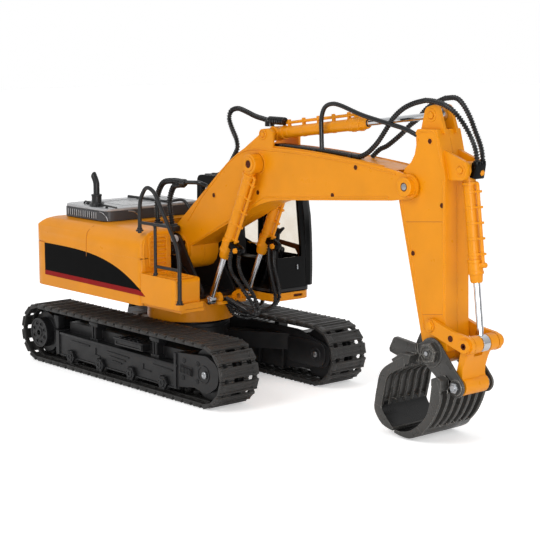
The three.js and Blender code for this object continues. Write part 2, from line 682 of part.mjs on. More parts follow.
function swingMotor() {
  const z0 = DECK_Z + 3.5 + GAP;
  return join(post(-54, 0, 13, z0, 106, 20), block(-70, -38, -16, 16, z0, 90), post(-54, 0, 3, 105, 109, 10));
}

function liftGearbox() {
  const z0 = DECK_Z + 3.5 + GAP;
  return join(block(-12, 22, -66, -48, z0, 112), bar([-40, -57, 96], [-10, -57, 96], 9, 12));
}

// ---- boom --------------------------------------------------------------------
function boomShape(inset) {
  const [fx, fz] = BOOM_FOOT;
  const [tx, tz] = BOOM_TIP;
  const shape = new THREE.Shape();
  const foot = 20 - inset;
  shape.absarc(fx, fz, foot, Math.PI * 0.74, Math.PI * 2.08);
  shape.lineTo(86, 157 + inset);
  shape.lineTo(110, 168.6 + inset);
  shape.quadraticCurveTo(132, 182 + inset, 160, 184.3 + inset);
  shape.lineTo(296, 195.4 + inset);
  shape.lineTo(306, 197 + inset);
  shape.absarc(tx, tz, 10.5 - inset, Math.PI * 1.62, Math.PI * 2.62);
  shape.quadraticCurveTo(300, 221 - inset, 286, 222.6 - inset);
  shape.quadraticCurveTo(216, 230.5 - inset, 147, 230.6 - inset);
  shape.lineTo(110, 228.9 - inset);
  shape.quadraticCurveTo(86, 217 - inset, 62.5, 195.3 - inset);
  shape.closePath();
  return shape;
}

// Right or left half of the boom. The two halves meet on the centre line.
function boomHalf(side) {
  const seam = side * GAP / 2;
  const outer = sidePlate(boomShape(0), side * BOOM_HALF, seam, 5);
  const hollow = sidePlate(boomShape(PLATE), side * (BOOM_HALF - PLATE), -side, 5);
  const armRoom = join(
    pin(BOOM_TIP, 20, side * (ARM_HALF + 0.8), -side, 24),
    block(BOOM_TIP[0] - 2, BOOM_TIP[0] + 20, side * (ARM_HALF + 0.8), -side, 185, 235),
    block(BOOM_TIP[0] - 20, BOOM_TIP[0], side * (ARM_HALF + 0.8), -side, 185, 202),
  );
  const tipBoss = pin(BOOM_TIP, 8, side * 21.8, side * (ARM_HALF + 1), 16);
  const tipRecess = pin(BOOM_TIP, 5.6, side * 19, side * 30, 16);
  const footBoss = pin(BOOM_FOOT, 9, side * (BOOM_HALF - 0.5), side * 0.4);
  const lug = sidePlate(outline([
    [109, 226], [109, 228.5], [139, 247.7, 5], [146.9, 245.1, 4], [146.9, 226],
  ]), side * BOOM_HALF, side * (BOOM_HALF - PLATE));
  const sleeve = pin(ARM_CYL_REAR, 5, side * (BOOM_HALF - 1), side * 5.6);
  const tubeBoss = pin(TUBE_TOP, 8, side * (BOOM_HALF + 0.2), side * (BOOM_HALF - 1));
  const body = join(cut(outer, hollow, armRoom), tipBoss, footBoss, lug, sleeve, tubeBoss);
  return cut(body,
    pin(BOOM_FOOT, 4.3, side * 30, -side),
    pin(BOOM_TIP, 4.3, side * 30, side),
    tipRecess,
    pin(ARM_CYL_REAR, 2.7, side * 20, side));
}

function boomMotor() {
  return join(block(232, 270, -9, 9, 198, 214), bar([196, 0, 205], [234, 0, 205], 7, 14),
    bar([268, 0, 205], [286, 0, 207], 2.4, 10));
}

// ---- arm ---------------------------------------------------------------------
function armShape(inset) {
  const [jx, jz] = JAW_PIN;
  const shape = new THREE.Shape();
  shape.moveTo(329 + inset, 84);
  shape.lineTo(316 + inset, 137.8);
  shape.lineTo(307.4 + inset, 171.4);
  shape.lineTo(301 + inset, 195.6);
  shape.quadraticCurveTo(300 + inset, 214, 307.5 + inset, 223);
  shape.quadraticCurveTo(319 + inset, 230, 319.6 + inset, 243);
  shape.lineTo(318.8 + inset, 252.3 - inset);
  shape.quadraticCurveTo(319 + inset, 255.5 - inset, 322, 255.8 - inset);
  shape.lineTo(342 - inset, 256.3 - inset);
  shape.lineTo(349.3 - inset, 229.3);
  shape.lineTo(351.6 - inset, 219.9);
  shape.lineTo(353.4 - inset, 160);
  shape.lineTo(355 - inset, 98);
  shape.lineTo(357 - inset, jz + 2);
  shape.absarc(jx, jz, 10.5 - inset, 0.1, -Math.PI * 0.85, true);
  shape.closePath();
  return shape;
}

// Right or left half of the arm, with lugs for the arm cylinder and the grab cylinder.
function armHalf(side) {
  const seam = side * GAP / 2;
  const outer = sidePlate(armShape(0), side * ARM_HALF, seam, 3);
  const hollow = sidePlate(armShape(PLATE), side * (ARM_HALF - PLATE), -side, 3);
  const topLug = sidePlate(outline([
    [319, 253], [324, 273, 6], [337, 277, 6], [346, 253],
  ]), side * 8.6, side * 5.4);
  const frontLug = sidePlate(outline([
    [346, 240], [372, 231, 6], [369, 217, 5], [350, 216],
  ]), side * 10, side * 6.5);
  const jawBoss = pin(JAW_PIN, 8, side * (ARM_HALF - 0.5), side * 0.4);
  const leverBoss = pin(LEVER_PIN, 5.5, side * (ARM_HALF - 0.5), side * 0.4, 10);
  const tipBoss = pin(BOOM_TIP, 8, side * (ARM_HALF - 0.5), side * 0.4);
  const body = join(cut(outer, hollow), topLug, frontLug, jawBoss, leverBoss, tipBoss);
  return cut(body,
    pin(BOOM_TIP, 4.3, side * 20, -side),
    pin(JAW_PIN, 4.3, side * 20, -side),
    pin(LEVER_PIN, 2.7, side * 20, -side),
    pin(ARM_CYL_FRONT, 2.7, side * 20, side, 8),
    pin(GRAB_CYL_TOP, 2.7, side * 20, side));
}

function armMotor() {
  return join(block(322, 344, -9, 9, 150, 182), bar([334, 0, 118], [333, 0, 152], 7, 14),
    bar([333, 0, 181], [331, 0, 196], 2.4, 10));
}

// ---- cylinders ---------------------------------------------------------------
// Cylinder tube between its own eye at a and the collar towards b, with a plain bore for the rod.
function cylinderTube({ a, b, y, half, mouth, boreEnd, eyeRadius, eyeHalf }) {
  const end = mouth - 16;
  const tube = bar(at(a, y), at(along(a, b, end + 1), y), half, 12);
  const collar = bar(at(along(a, b, end), y), at(along(a, b, mouth - 9), y), half + 0.9, 12);
  const nose = bar(at(along(a, b, mouth - 9.5), y), at(along(a, b, mouth), y), half + 0.5, 12, half - 0.6);
  const eye = pin(a, eyeRadius, y - eyeHalf, y + eyeHalf, 14);
  const oilPipe = bar(at(along(a, b, 14, half + 2.2), y), at(along(a, b, mouth - 8, half + 2.2), y), 1.4, 4);
  const tie = bar(at(along(a, b, 18), y), at(along(a, b, 18, half + 2.6), y), 1.6, 4);
  const port = bar(at(along(a, b, mouth - 13), y), at(along(a, b, mouth - 13, half + 3.6), y), 2.4, 6);
  const bore = bar(at(along(a, b, boreEnd), y), at(along(a, b, mouth + 1), y), 3.3, 10);
  return cut(join(tube, collar, nose, eye, oilPipe, tie, port), bore);
}

// Polished rod from its eye at a to its inner end.
function cylinderRod({ a, b, y, length, eyeRadius, eyeHalf, bore }) {
  const rod = bar(at(a, y), at(along(a, b, length), y), 2.8, 10);
  const eye = pin(a, eyeRadius, y - eyeHalf, y + eyeHalf, 14);
  return cut(join(rod, eye), pin(a, bore, y - eyeHalf - 1, y + eyeHalf + 1, 10));
}

const BOOM_CYL_Y = 22.8;

function boomTube(side) {
  const body = cylinderTube({
    a: TUBE_TOP, b: ROD_BASE, y: side * BOOM_CYL_Y, half: 5.2, mouth: 99, boreEnd: 36,
    eyeRadius: 9, eyeHalf: 5.2,
  });
  return cut(body, pin(TUBE_TOP, 3.2, side * 25, side * 30, 8));
}

function boomRod(side) {
  const eye = cylinderRod({
    a: ROD_BASE, b: TUBE_TOP, y: side * BOOM_CYL_Y, length: 78, eyeRadius: 5.6, eyeHalf: 4, bore: 0.8,
  });
  const stub = pin(ROD_BASE, 2.4, side * (BOOM_CYL_Y - 3), side * 11, 12);
  return join(eye, stub);
}

// The arm and grab cylinders turn on a cross pin through their rear eye.
function armTube() {
  return join(cylinderTube({
    a: ARM_CYL_REAR, b: ARM_CYL_FRONT, y: 0, half: 5.2, mouth: 118, boreEnd: 54,
    eyeRadius: 6.6, eyeHalf: 5.2,
  }), pin(ARM_CYL_REAR, 2.3, -BOOM_HALF + 1, BOOM_HALF - 1));
}

function armRod() {
  return cylinderRod({
    a: ARM_CYL_FRONT, b: ARM_CYL_REAR, y: 0, length: 109, eyeRadius: 6.4, eyeHalf: 4.6, bore: 2.8,
  });
}

function grabTube() {
  return join(cylinderTube({
    a: GRAB_CYL_TOP, b: LINK_PIN, y: 0, half: 5.2, mouth: 91, boreEnd: 44,
    eyeRadius: 6.6, eyeHalf: 5.2,
  }), pin(GRAB_CYL_TOP, 2.3, -9.6, 9.6));
}

function grabRod() {
  return cylinderRod({
    a: LINK_PIN, b: GRAB_CYL_TOP, y: 0, length: 60, eyeRadius: 7, eyeHalf: 4, bore: 4.8,
  });
}

// ---- grab ----------------------------------------------------------------------
// Two levers on the arm, joined by the cross pin that the cylinder pushes on.
function linkLevers() {
  const middle = [364.5, 89.6];
  const levers = [RIGHT, LEFT].map((side) => {
    const y0 = side * (ARM_HALF + 0.8);
    const y1 = side * LEVER_OUT;
    return cut(join(
      sidePlate(strap([...LEVER_PIN, 6], [...middle, 6]), y0, y1, 3),
      sidePlate(strap([...middle, 6], [...LINK_PIN, 7.4]), y0, y1, 3),
      pin(LINK_PIN, 5.6, side * 16, side * 21.5),
      pin(LEVER_PIN, 5, side * 16, side * 19.6),
      pin(LEVER_PIN, 2.3, side * (ARM_HALF - 2.2), side * 16),
    ), pin(middle, 2.6, side * 10, side * 25, 8), pin(LEVER_PIN, 2.7, side * 18.2, side * 20, 8));
  });
  return join(pin(LINK_PIN, 2.4, -16, 16, 10), levers);
}

// Push link between the levers' cross pin and the front jaw, hollowed at its front.
function pushLink() {
  const half = ARM_HALF;
  const plate = new THREE.Shape();
  plate.moveTo(373, 86);
  plate.lineTo(381, 82);
  plate.quadraticCurveTo(368, 58, 378.5, 51);
  plate.lineTo(364, 50);
  plate.quadraticCurveTo(369, 66, 373, 86);
  const body = sidePlate(plate, -half, half, 5);
  const knuckle = pin(LINK_PIN, 7.2, -half, half, 14);
  const foot = pin(CRANK_PIN, 7.6, -half, half, 14);
  const eyeRoom = pin(LINK_PIN, 11.5, -5, 5, 14);
  return cut(join(body, knuckle, foot), eyeRoom, pin(LINK_PIN, 2.8, -20, 20, 10), pin(CRANK_PIN, 4.1, -20, 20, 10));
}

// A closed outline of two smooth edges, given as start, outer edge, tip and inner edge.
function ribShape([start, outer, tip, inner]) {
  const shape = new THREE.Shape();
  shape.moveTo(...start);
  shape.splineThru(outer.map(([x, z]) => new THREE.Vector2(x, z)));
  shape.lineTo(...tip);
  shape.splineThru(inner.map(([x, z]) => new THREE.Vector2(x, z)));
  shape.closePath();
  return shape;
}

function jawRibs(shape, curveSegments) {
  return Array.from({ length: RIB_COUNT }, (_, i) => {
    const y = -JAW_HALF + RIB_WIDTH / 2 + i * (JAW_HALF * 2 - RIB_WIDTH) / (RIB_COUNT - 1);
    return sidePlate(shape, y - RIB_WIDTH / 2, y + RIB_WIDTH / 2, curveSegments);
  });
}

// Rear jaw: curved ribs, a blade, a head beam and two cheeks that turn on the jaw pin.
function rearJaw() {
  const ribs = jawRibs(ribShape([
    [321.7, 70], [[297.8, 55], [291.4, 38], [288.9, 24]], [297.1, 22.5],
    [[300.2, 35.5], [305, 50.4], [323.7, 61]],
  ]), 2);
  const blade = sidePlate(ribShape([
    [289.2, 27], [[288.6, 22], [290.3, 16], [298.2, 7.8], [310, 4.2]], [310.8, 6.4],
    [[302.6, 14.5], [297.4, 21], [296.6, 27]],
  ]), -JAW_HALF, JAW_HALF, 2);
  const head = sidePlate(outline([
    [310.7, 62], [327, 63.5], [329.5, 71.5], [318.7, 72], [307.7, 65],
  ]), -JAW_HALF, JAW_HALF);
  const cheeks = [RIGHT, LEFT].map((side) => {
    const inner = side * (ARM_HALF + 0.4);
    return join(
      sidePlate(strap([...JAW_PIN, 10.6], [320, 70, 6]), inner, side * 16.4, 3),
      sidePlate(outline([
        [296.5, 67, 3], [296, 73, 4], [303, 82, 5], [326, 79.5], [328.5, 65], [318, 63],
      ]), inner, side * LEVER_OUT),
    );
  });
  return cut(join(head, ribs, blade, cheeks), pin(JAW_PIN, 4.3, -30, 30));
}

// Front jaw: curved ribs, a blade and two cranks from the jaw pin to the push link.
function frontJaw() {
  const ribs = jawRibs(ribShape([
    [358.7, 57], [[363.5, 42], [356, 22.5], [344, 8.5]], [337.7, 13],
    [[349.2, 27], [353.7, 52]],
  ]), 2);
  const blade = sidePlate(ribShape([
    [347.7, 12.5], [[342.6, 7], [330, 1.6], [318.7, 1.8], [311.9, 3.4]], [312.5, 5.6],
    [[320.7, 5.6], [331, 8.8], [342.3, 17]],
  ]), -JAW_HALF, JAW_HALF, 2);
  const head = sidePlate(outline([
    [352.7, 50], [363.7, 47], [363.7, 56], [358.7, 58.5], [352.7, 56],
  ]), -JAW_HALF, JAW_HALF);
  const linkRoom = pin(CRANK_PIN, 11.5, -ARM_HALF - 0.6, ARM_HALF + 0.6, 16);
  const cranks = [RIGHT, LEFT].map((side) => join(
    sidePlate(strap([...JAW_PIN, 12.4], [...CRANK_PIN, 8.5]), side * 16.8, side * CRANK_OUT, 6),
    pin(CRANK_PIN, 5.4, side * 17, side * (ARM_HALF + 0.6)),
    sidePlate(outline([[354.7, 50], [366, 44], [369, 53], [360.7, 60]]), side * CRANK_OUT, side * (ARM_HALF + 0.6)),
  ));
  const body = cut(join(head, ribs, blade), linkRoom);
  return cut(join(body, cranks), pin(JAW_PIN, 4.3, -30, 30), pin(CRANK_PIN, 2.9, -30, 30, 10));
}

// Bolt with a hexagon head and a hexagon nut.
function hexBolt(pivot, radius, half, hexRadius, hexDepth) {
  const heads = [RIGHT, LEFT].map((side) => join(
    pin(pivot, hexRadius, side * half, side * (half + hexDepth), 6),
    pin(pivot, radius, side * half, side * (half + hexDepth + 1.2), 10),
  ));
  return join(pin(pivot, radius, -half - 0.5, half + 0.5, 10), heads);
}

// ---- assembly ------------------------------------------------------------------
[RIGHT, LEFT].forEach((side) => {
  addPiece(sideName('track_belt', side), trackBelt(side), rubber());
  addPiece(sideName('track_frame', side), trackFrame(side), black());
  addPiece(sideName('sprocket', side), sprocket(side), black());
  addPiece(sideName('idler', side), idler(side), black());
  addPiece(sideName('drive_motor', side), driveMotor(side), grey());
  ROLLER_XS.forEach((x, i) => {
    const wheel = addPiece(`${sideName('roller', side)}_${i + 1}`, roller(side), black());
    wheel.position.set(x, 0, ROLLER_Z);
  });
});
addPiece('chassis_frame', chassisFrame(), black());
addPiece('swing_bearing', swingBearing(), black());

const upper = new THREE.Group();
machine.add(upper);
addPiece('turntable_drum', turntableDrum(), yellow(), upper);
addPiece('house_floor', houseFloor(), yellow(), upper);
addPiece('house_shell', houseShell(), yellow(), upper);
addPiece('engine_hood', engineHood(), grey(), upper);
addPiece('exhaust_pipe', exhaustPipe(), black(), upper);
addPiece('toolbox', toolbox(), yellow(), upper);
addPiece('handrail', handrail(), black(), upper);
addPiece('hood_rail', hoodRail(), black(), upper);
addPiece('house_hoses', houseHoses(), rubber(), upper);
addPiece('boom_bracket', boomBracket(), black(), upper);
addPiece('cab_skirt', cabSkirt(), yellow(), upper);
addPiece('cab_shell', cabShell(), glossBlack(), upper);
addPiece('cab_seat', cabSeat(), black(), upper);
addPiece('cab_controls', cabControls(), black(), upper);
addPiece('battery_pack', batteryPack(), blue(), upper);
addPiece('circuit_board', circuitBoard(), green(), upper);
addPiece('swing_motor', swingMotor(), steel(), upper);
addPiece('lift_gearbox', liftGearbox(), grey(), upper);

const boom = new THREE.Group();
upper.add(boom);
addPiece('boom_half_right', boomHalf(RIGHT), yellow(), boom);
addPiece('boom_half_left', boomHalf(LEFT), yellow(), boom);
addPiece('boom_foot_pin', pivotPin(BOOM_FOOT, 4, 21.3, 6), steel(), boom);
addPiece('boom_motor', boomMotor(), grey(), boom);
[RIGHT, LEFT].forEach((side) => {
  addPiece(sideName('boom_cylinder_tube', side), boomTube(side), yellow(), boom);
  addPiece(sideName('boom_cylinder_rod', side), boomRod(side), chrome(), upper);
});

const arm = new THREE.Group();
boom.add(arm);
addPiece('arm_half_right', armHalf(RIGHT), yellow(), arm);
addPiece('arm_half_left', armHalf(LEFT), yellow(), arm);
addPiece('arm_pivot_pin', pivotPin(BOOM_TIP, 4, 19.3, 5), steel(), arm);
addPiece('arm_motor', armMotor(), grey(), arm);
addPiece('arm_cylinder_tube', armTube(), yellow(), boom);
addPiece('arm_cylinder_rod', armRod(), chrome(), boom);

const grab = new THREE.Group();
arm.add(grab);
addPiece('grab_cylinder_tube', grabTube(), yellow(), grab);
addPiece('grab_cylinder_rod', grabRod(), chrome(), grab);
addPiece('link_levers', linkLevers(), yellow(), grab);
addPiece('push_link', pushLink(), yellow(), grab);
addPiece('rear_jaw', rearJaw(), gunmetal(), grab);
addPiece('front_jaw', frontJaw(), gunmetal(), grab);
addPiece('jaw_bolt', hexBolt(JAW_PIN, 4, CRANK_OUT + GAP, 7.6, 4), gunmetal(), grab);
addPiece('crank_bolt', hexBolt(CRANK_PIN, 2.6, CRANK_OUT + GAP, 4.6, 2.6), steel(), grab);

machine.position.x = -MIDDLE_X;

export default machine;
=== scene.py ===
"""Looks for a radio-controlled excavator with a log grab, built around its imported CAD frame.

Shapes are drawn in millimetres in the machine's own axes: x forward from the middle of the tracks, y to the
machine's left, z up from the ground. piece() moves them into the frame, which is in metres.
"""
import json
import math

import bmesh
import bpy
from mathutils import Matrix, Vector


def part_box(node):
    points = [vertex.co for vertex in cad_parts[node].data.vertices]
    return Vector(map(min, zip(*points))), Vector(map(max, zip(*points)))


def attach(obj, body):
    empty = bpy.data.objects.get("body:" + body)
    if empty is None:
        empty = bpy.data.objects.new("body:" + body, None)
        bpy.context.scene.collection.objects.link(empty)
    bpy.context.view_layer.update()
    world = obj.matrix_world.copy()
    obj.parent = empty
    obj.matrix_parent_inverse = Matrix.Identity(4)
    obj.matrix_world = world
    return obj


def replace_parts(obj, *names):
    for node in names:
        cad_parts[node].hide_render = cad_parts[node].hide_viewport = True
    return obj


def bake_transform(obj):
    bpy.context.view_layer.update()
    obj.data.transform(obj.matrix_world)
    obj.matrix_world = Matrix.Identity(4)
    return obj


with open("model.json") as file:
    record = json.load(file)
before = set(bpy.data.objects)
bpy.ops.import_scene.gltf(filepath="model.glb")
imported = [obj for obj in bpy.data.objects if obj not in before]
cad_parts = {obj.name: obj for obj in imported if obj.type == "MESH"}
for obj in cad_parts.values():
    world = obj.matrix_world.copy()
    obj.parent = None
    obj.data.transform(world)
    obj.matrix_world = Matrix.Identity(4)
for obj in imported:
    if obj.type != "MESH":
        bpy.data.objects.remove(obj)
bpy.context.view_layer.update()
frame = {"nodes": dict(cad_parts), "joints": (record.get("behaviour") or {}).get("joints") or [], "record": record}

MM = 0.001
SIDES = {"right": -1, "left": 1}
TRACK_LOW, TRACK_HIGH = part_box("track_belt_right")
MIDDLE_X = (TRACK_LOW.x + TRACK_HIGH.x) / 2

AXLE_X = 132
AXLE_Z = 29.6
ROLLER_XS = (-78, -28, 22, 72)
ROLLER_Z = 12.8
FRAME_FACE = 84
HOUSE_SIDE = 77
HOUSE_TOP = 148
HOOD_TOP = 160
ROOF_ROUND = 22
BOOM_SIDE = 17
ARM_SIDE = 14
BOOM_CYL_Y = 22.8
HOSE_PITCH = 2.4
TUBE_HALF = 5.2
RUNGS = 5
SHARP_EDGE = math.radians(32)
CREASE = math.radians(40)
NODE_ROUNDING = 0.35


def in_frame(point):
    """A point of the machine, in the frame's metres."""
    return Vector((point[0] * MM + MIDDLE_X, point[1] * MM, point[2] * MM))


def pivot(joint):
    """A joint's place as (x, z) in machine millimetres."""
    place = next(j for j in frame["joints"] if j["name"] == joint)["pos_m"]
    return ((place[0] - MIDDLE_X) / MM, place[2] / MM)


BOOM_FOOT = pivot("boom_lift")
BOOM_TIP = pivot("arm_swing")
ROD_BASE = pivot("boom_rod_tilt_right")
ARM_CYL_REAR = pivot("arm_tube_tilt")
GRAB_CYL_TOP = pivot("grab_tube_tilt")
JAW_PIN = pivot("jaw_open")
LEVER_PIN = pivot("lever_tilt")
LINK_PIN = pivot("push_link_turn")
TUBE_TOP = (126.5, 215)
ARM_CYL_FRONT = (330.5, 267)


# ---- materials -----------------------------------------------------------------------------
class Nodes:
    """A short way to add nodes to a material and join them."""

    def __init__(self, name):
        self.material = bpy.data.materials.new(name)
        self.material.use_nodes = True
        self.tree = self.material.node_tree
        self.shader = self.tree.nodes["Principled BSDF"]
        self.place = self.add("ShaderNodeTexCoord").outputs["Object"]

    def add(self, kind, **values):
        node = self.tree.nodes.new(kind)
        for key, value in values.items():
            setattr(node, key, value)
        return node

    def link(self, source, target):
        self.tree.links.new(source, target)

    def noise(self, scale, detail=3.0, stretch=(1, 1, 1)):
        """Noise at a scale per metre, stretched along the machine's axes."""
        mapping = self.add("ShaderNodeMapping")
        mapping.inputs["Scale"].default_value = stretch
        self.link(self.place, mapping.inputs["Vector"])
        noise = self.add("ShaderNodeTexNoise")
        noise.inputs["Scale"].default_value = scale
        noise.inputs["Detail"].default_value = detail
        self.link(mapping.outputs["Vector"], noise.inputs["Vector"])
        return noise.outputs["Fac"]

    def spread(self, source, low, high, start=0.3, end=0.7):
        node = self.add("ShaderNodeMapRange")
        self.link(source, node.inputs["Value"])
        for key, value in zip(("From Min", "From Max", "To Min", "To Max"), (start, end, low, high)):
            node.inputs[key].default_value = value
        return node.outputs["Result"]

    def blend(self, factor, first, second):
        node = self.add("ShaderNodeMix", data_type="RGBA")
        self.link(factor, node.inputs["Factor"])
        for socket, colour in (("A", first), ("B", second)):
            target = next(i for i in node.inputs if i.name == socket and i.type == "RGBA")
            if isinstance(colour, tuple):
                target.default_value = colour
            else:
                self.link(colour, target)
        return next(o for o in node.outputs if o.type == "RGBA")


def linear(red, green, blue, gain=1.0):
    """A colour given as screen values from 0 to 255, turned into the linear values that nodes use."""
    values = [(value / 255) ** 2.2 * gain for value in (red, green, blue)]
    return (*values, 1.0)


def surface(name, colour, roughness, metallic=0.0, patch=35.0, tint=0.10, grain=1400.0, grain_depth=0.03,
            rounding=0.35, coat=0.0, edge_wear_and_highlight=None, edge_wear_and_highlight_amount=0.0, stretch=(1, 1, 1), rough_swing=0.07,
            specular=0.5):
    """Finish with slow colour drift, fine grain, softened corners and, where an edge colour is given, edges
    lightened towards it: partly rubbed wear, mostly painted highlight.
    """
    nodes = Nodes(name)
    drift = nodes.noise(patch, 4.0)
    darker = linear(*colour, gain=1 - tint)
    lighter = linear(*colour, gain=1 + tint)
    shade = nodes.blend(nodes.spread(drift, 0, 1), darker, lighter)
    grit = nodes.noise(grain, 2.0, stretch)
    corner = nodes.add("ShaderNodeBevel", samples=4)
    corner.inputs["Radius"].default_value = rounding * MM
    # Painted highlight: edges, found where the rounded normal parts from the true one, lighten towards the edge
    # colour; partly rubbed wear too.
    if edge_wear_and_highlight:
        geometry = nodes.add("ShaderNodeNewGeometry")
        turn = nodes.add("ShaderNodeVectorMath", operation="DOT_PRODUCT")
        nodes.link(corner.outputs["Normal"], turn.inputs[0])
        nodes.link(geometry.outputs["Normal"], turn.inputs[1])
        edge = nodes.spread(turn.outputs["Value"], edge_wear_and_highlight_amount, 0, 0.78, 0.99)
        broken = nodes.add("ShaderNodeMath", operation="MULTIPLY", use_clamp=True)
        nodes.link(edge, broken.inputs[0])
        nodes.link(nodes.spread(nodes.noise(patch * 9, 5.0), 0.1, 1.2), broken.inputs[1])
        shade = nodes.blend(broken.outputs["Value"], shade, linear(*edge_wear_and_highlight))
    nodes.link(shade, nodes.shader.inputs["Base Color"])
    smear = nodes.noise(patch * 3, 5.0)
    nodes.link(nodes.spread(smear, roughness - rough_swing, roughness + rough_swing),
               nodes.shader.inputs["Roughness"])
    bump = nodes.add("ShaderNodeBump")
    bump.inputs["Strength"].default_value = 1.0
    bump.inputs["Distance"].default_value = grain_depth * MM
    nodes.link(grit, bump.inputs["Height"])
    nodes.link(corner.outputs["Normal"], bump.inputs["Normal"])
    nodes.link(bump.outputs["Normal"], nodes.shader.inputs["Normal"])
    nodes.shader.inputs["Metallic"].default_value = metallic
    nodes.shader.inputs["Specular IOR Level"].default_value = specular
    nodes.shader.inputs["Coat Weight"].default_value = coat
    nodes.shader.inputs["Coat Roughness"].default_value = 0.12
    return nodes.material


def yellow_plastic():
    return surface("yellow_plastic", (224, 140, 14), 0.34, tint=0.05, grain=1900, grain_depth=0.02,
                   specular=0.3, edge_wear_and_highlight=(250, 182, 70), edge_wear_and_highlight_amount=0.5)


def black_plastic():
    return surface("black_plastic", (30, 30, 31), 0.38, tint=0.2, grain=1600, grain_depth=0.035, specular=0.4,
                   edge_wear_and_highlight=(84, 84, 86), edge_wear_and_highlight_amount=0.7)


def gloss_black_plastic():
    return surface("gloss_black_plastic", (9, 9, 10), 0.2, tint=0.2, grain=500, grain_depth=0.02,
                   specular=0.14, rough_swing=0.05, edge_wear_and_highlight=(60, 60, 62), edge_wear_and_highlight_amount=0.4)


def hood_plastic():
    return surface("hood_plastic", (66, 66, 68), 0.36, tint=0.1, grain=1700, grain_depth=0.03, specular=0.3,
                   edge_wear_and_highlight=(150, 152, 156), edge_wear_and_highlight_amount=0.5)


def hood_cover_plastic():
    # Its pale grey is partly the hood top's own colour and partly painted sheen of grazing light.
    return surface("hood_cover_plastic", (164, 165, 167), 0.26, tint=0.05, grain=1700, grain_depth=0.02)


def track_rubber():
    return surface("track_rubber", (42, 41, 40), 0.45, tint=0.3, patch=60, grain=1500, grain_depth=0.06,
                   edge_wear_and_highlight=(104, 102, 98), edge_wear_and_highlight_amount=0.8)


def hose_rubber():
    # Its light edge colour paints the highlights on the crests of the hoses' ribs.
    return surface("hose_rubber", (20, 20, 21), 0.2, tint=0.25, grain=2600, grain_depth=0.01, rounding=0.15,
                   edge_wear_and_highlight=(130, 130, 132), edge_wear_and_highlight_amount=0.8)


def grab_paint():
    # Its light edge colour paints highlights on the crests of the jaws' ribs, with some rubbed paint.
    return surface("grab_paint", (67, 66, 64), 0.3, metallic=0.3, tint=0.14, grain=1300, grain_depth=0.04,
                   coat=0.1, rounding=0.6, edge_wear_and_highlight=(190, 186, 178), edge_wear_and_highlight_amount=0.9)


def jaw_lining():
    """The blacker, glossier inside of the jaws' blades."""
    return surface("jaw_lining", (12, 12, 13), 0.24, tint=0.2, grain=1300, grain_depth=0.03, specular=0.4,
                   edge_wear_and_highlight=(90, 88, 84), edge_wear_and_highlight_amount=0.5)


def polished_rod():
    return surface("polished_rod", (205, 207, 210), 0.14, metallic=1.0, tint=0.04, grain=2500,
                   grain_depth=0.006, stretch=(1, 1, 0.05), rough_swing=0.05)


def brushed_steel():
    return surface("brushed_steel", (170, 172, 175), 0.3, metallic=0.95, tint=0.08, grain=2600,
                   grain_depth=0.015, stretch=(1, 0.1, 1))


def zinc_screw():
    return surface("zinc_screw", (62, 62, 64), 0.34, metallic=0.8, tint=0.15, grain=2600, grain_depth=0.015)


def motor_casing():
    return surface("motor_casing", (110, 113, 118), 0.45, tint=0.08, grain=1500, grain_depth=0.03)


def battery_wrap():
    return surface("battery_wrap", (40, 80, 154), 0.2, tint=0.1, grain=900, grain_depth=0.02, coat=0.4)


def board_green():
    return surface("board_green", (30, 106, 60), 0.35, tint=0.15, grain=1200, grain_depth=0.02, coat=0.3)


def decal_black():
    return surface("decal_black", (5, 5, 6), 0.45, tint=0.1, grain=1200, grain_depth=0.004, rounding=0.05,
                   specular=0.05, rough_swing=0.02)


def decal_red():
    return surface("decal_red", (140, 14, 12), 0.5, tint=0.06, grain=1200, grain_depth=0.01, rounding=0.05,
                   specular=0.15)


def seam_shadow():
    return surface("seam_shadow", (186, 108, 16), 0.5, tint=0.08, grain=1200, grain_depth=0.01, rounding=0.05)


def screw_hole_shade():
    """Painted shade: the dark brown of the shadow deep inside a screw hole in yellow plastic."""
    return surface("screw_hole_shade", (74, 30, 10), 0.5, tint=0.2, grain=1200, grain_depth=0.02, specular=0.2)


def window_tint():
    """Faintly brown film that shows what is behind it, under a thin gloss."""
    nodes = Nodes("window_tint")
    film = nodes.add("ShaderNodeBsdfTransparent")
    haze = nodes.spread(nodes.noise(60, 4.0), 0, 1)
    shade = nodes.blend(haze, (0.90, 0.85, 0.78, 1), (0.96, 0.93, 0.88, 1))
    nodes.link(shade, film.inputs["Color"])
    nodes.shader.inputs["Base Color"].default_value = linear(70, 46, 26)
    nodes.link(nodes.spread(nodes.noise(90, 3.0), 0.03, 0.1), nodes.shader.inputs["Roughness"])
    mix = nodes.add("ShaderNodeMixShader")
    mix.inputs["Fac"].default_value = 0.08
    nodes.link(film.outputs["BSDF"], mix.inputs[1])
    nodes.link(nodes.shader.outputs["BSDF"], mix.inputs[2])
    nodes.link(mix.outputs["Shader"], nodes.tree.nodes["Material Output"].inputs["Surface"])
    return nodes.material


def smoked_band():
    """Brown see-through plastic."""
    return surface("smoked_band", (92, 50, 24), 0.3, tint=0.15, grain=1400, grain_depth=0.02, specular=0.3)


SLOT_MATERIALS = {
    "yellow_shell": yellow_plastic(),
    "black_plastic": black_plastic(),
    "gloss_black_plastic": gloss_black_plastic(),
    "grey_plastic": hood_plastic(),
    "track_rubber": track_rubber(),
    "hose_rubber": hose_rubber(),
    "chrome_rod": polished_rod(),
    "steel_hardware": brushed_steel(),
    "grab_metal": grab_paint(),
    "motor_casing": motor_casing(),
    "battery_wrap": battery_wrap(),
    "board_green": board_green(),
}
HOOD_COVER = hood_cover_plastic()
SCREW = zinc_screw()
DECAL_BLACK = decal_black()
DECAL_RED = decal_red()
WINDOW = window_tint()
SEAM = seam_shadow()
HOLE_SHADE = screw_hole_shade()
SMOKED = smoked_band()
LINING = jaw_lining()


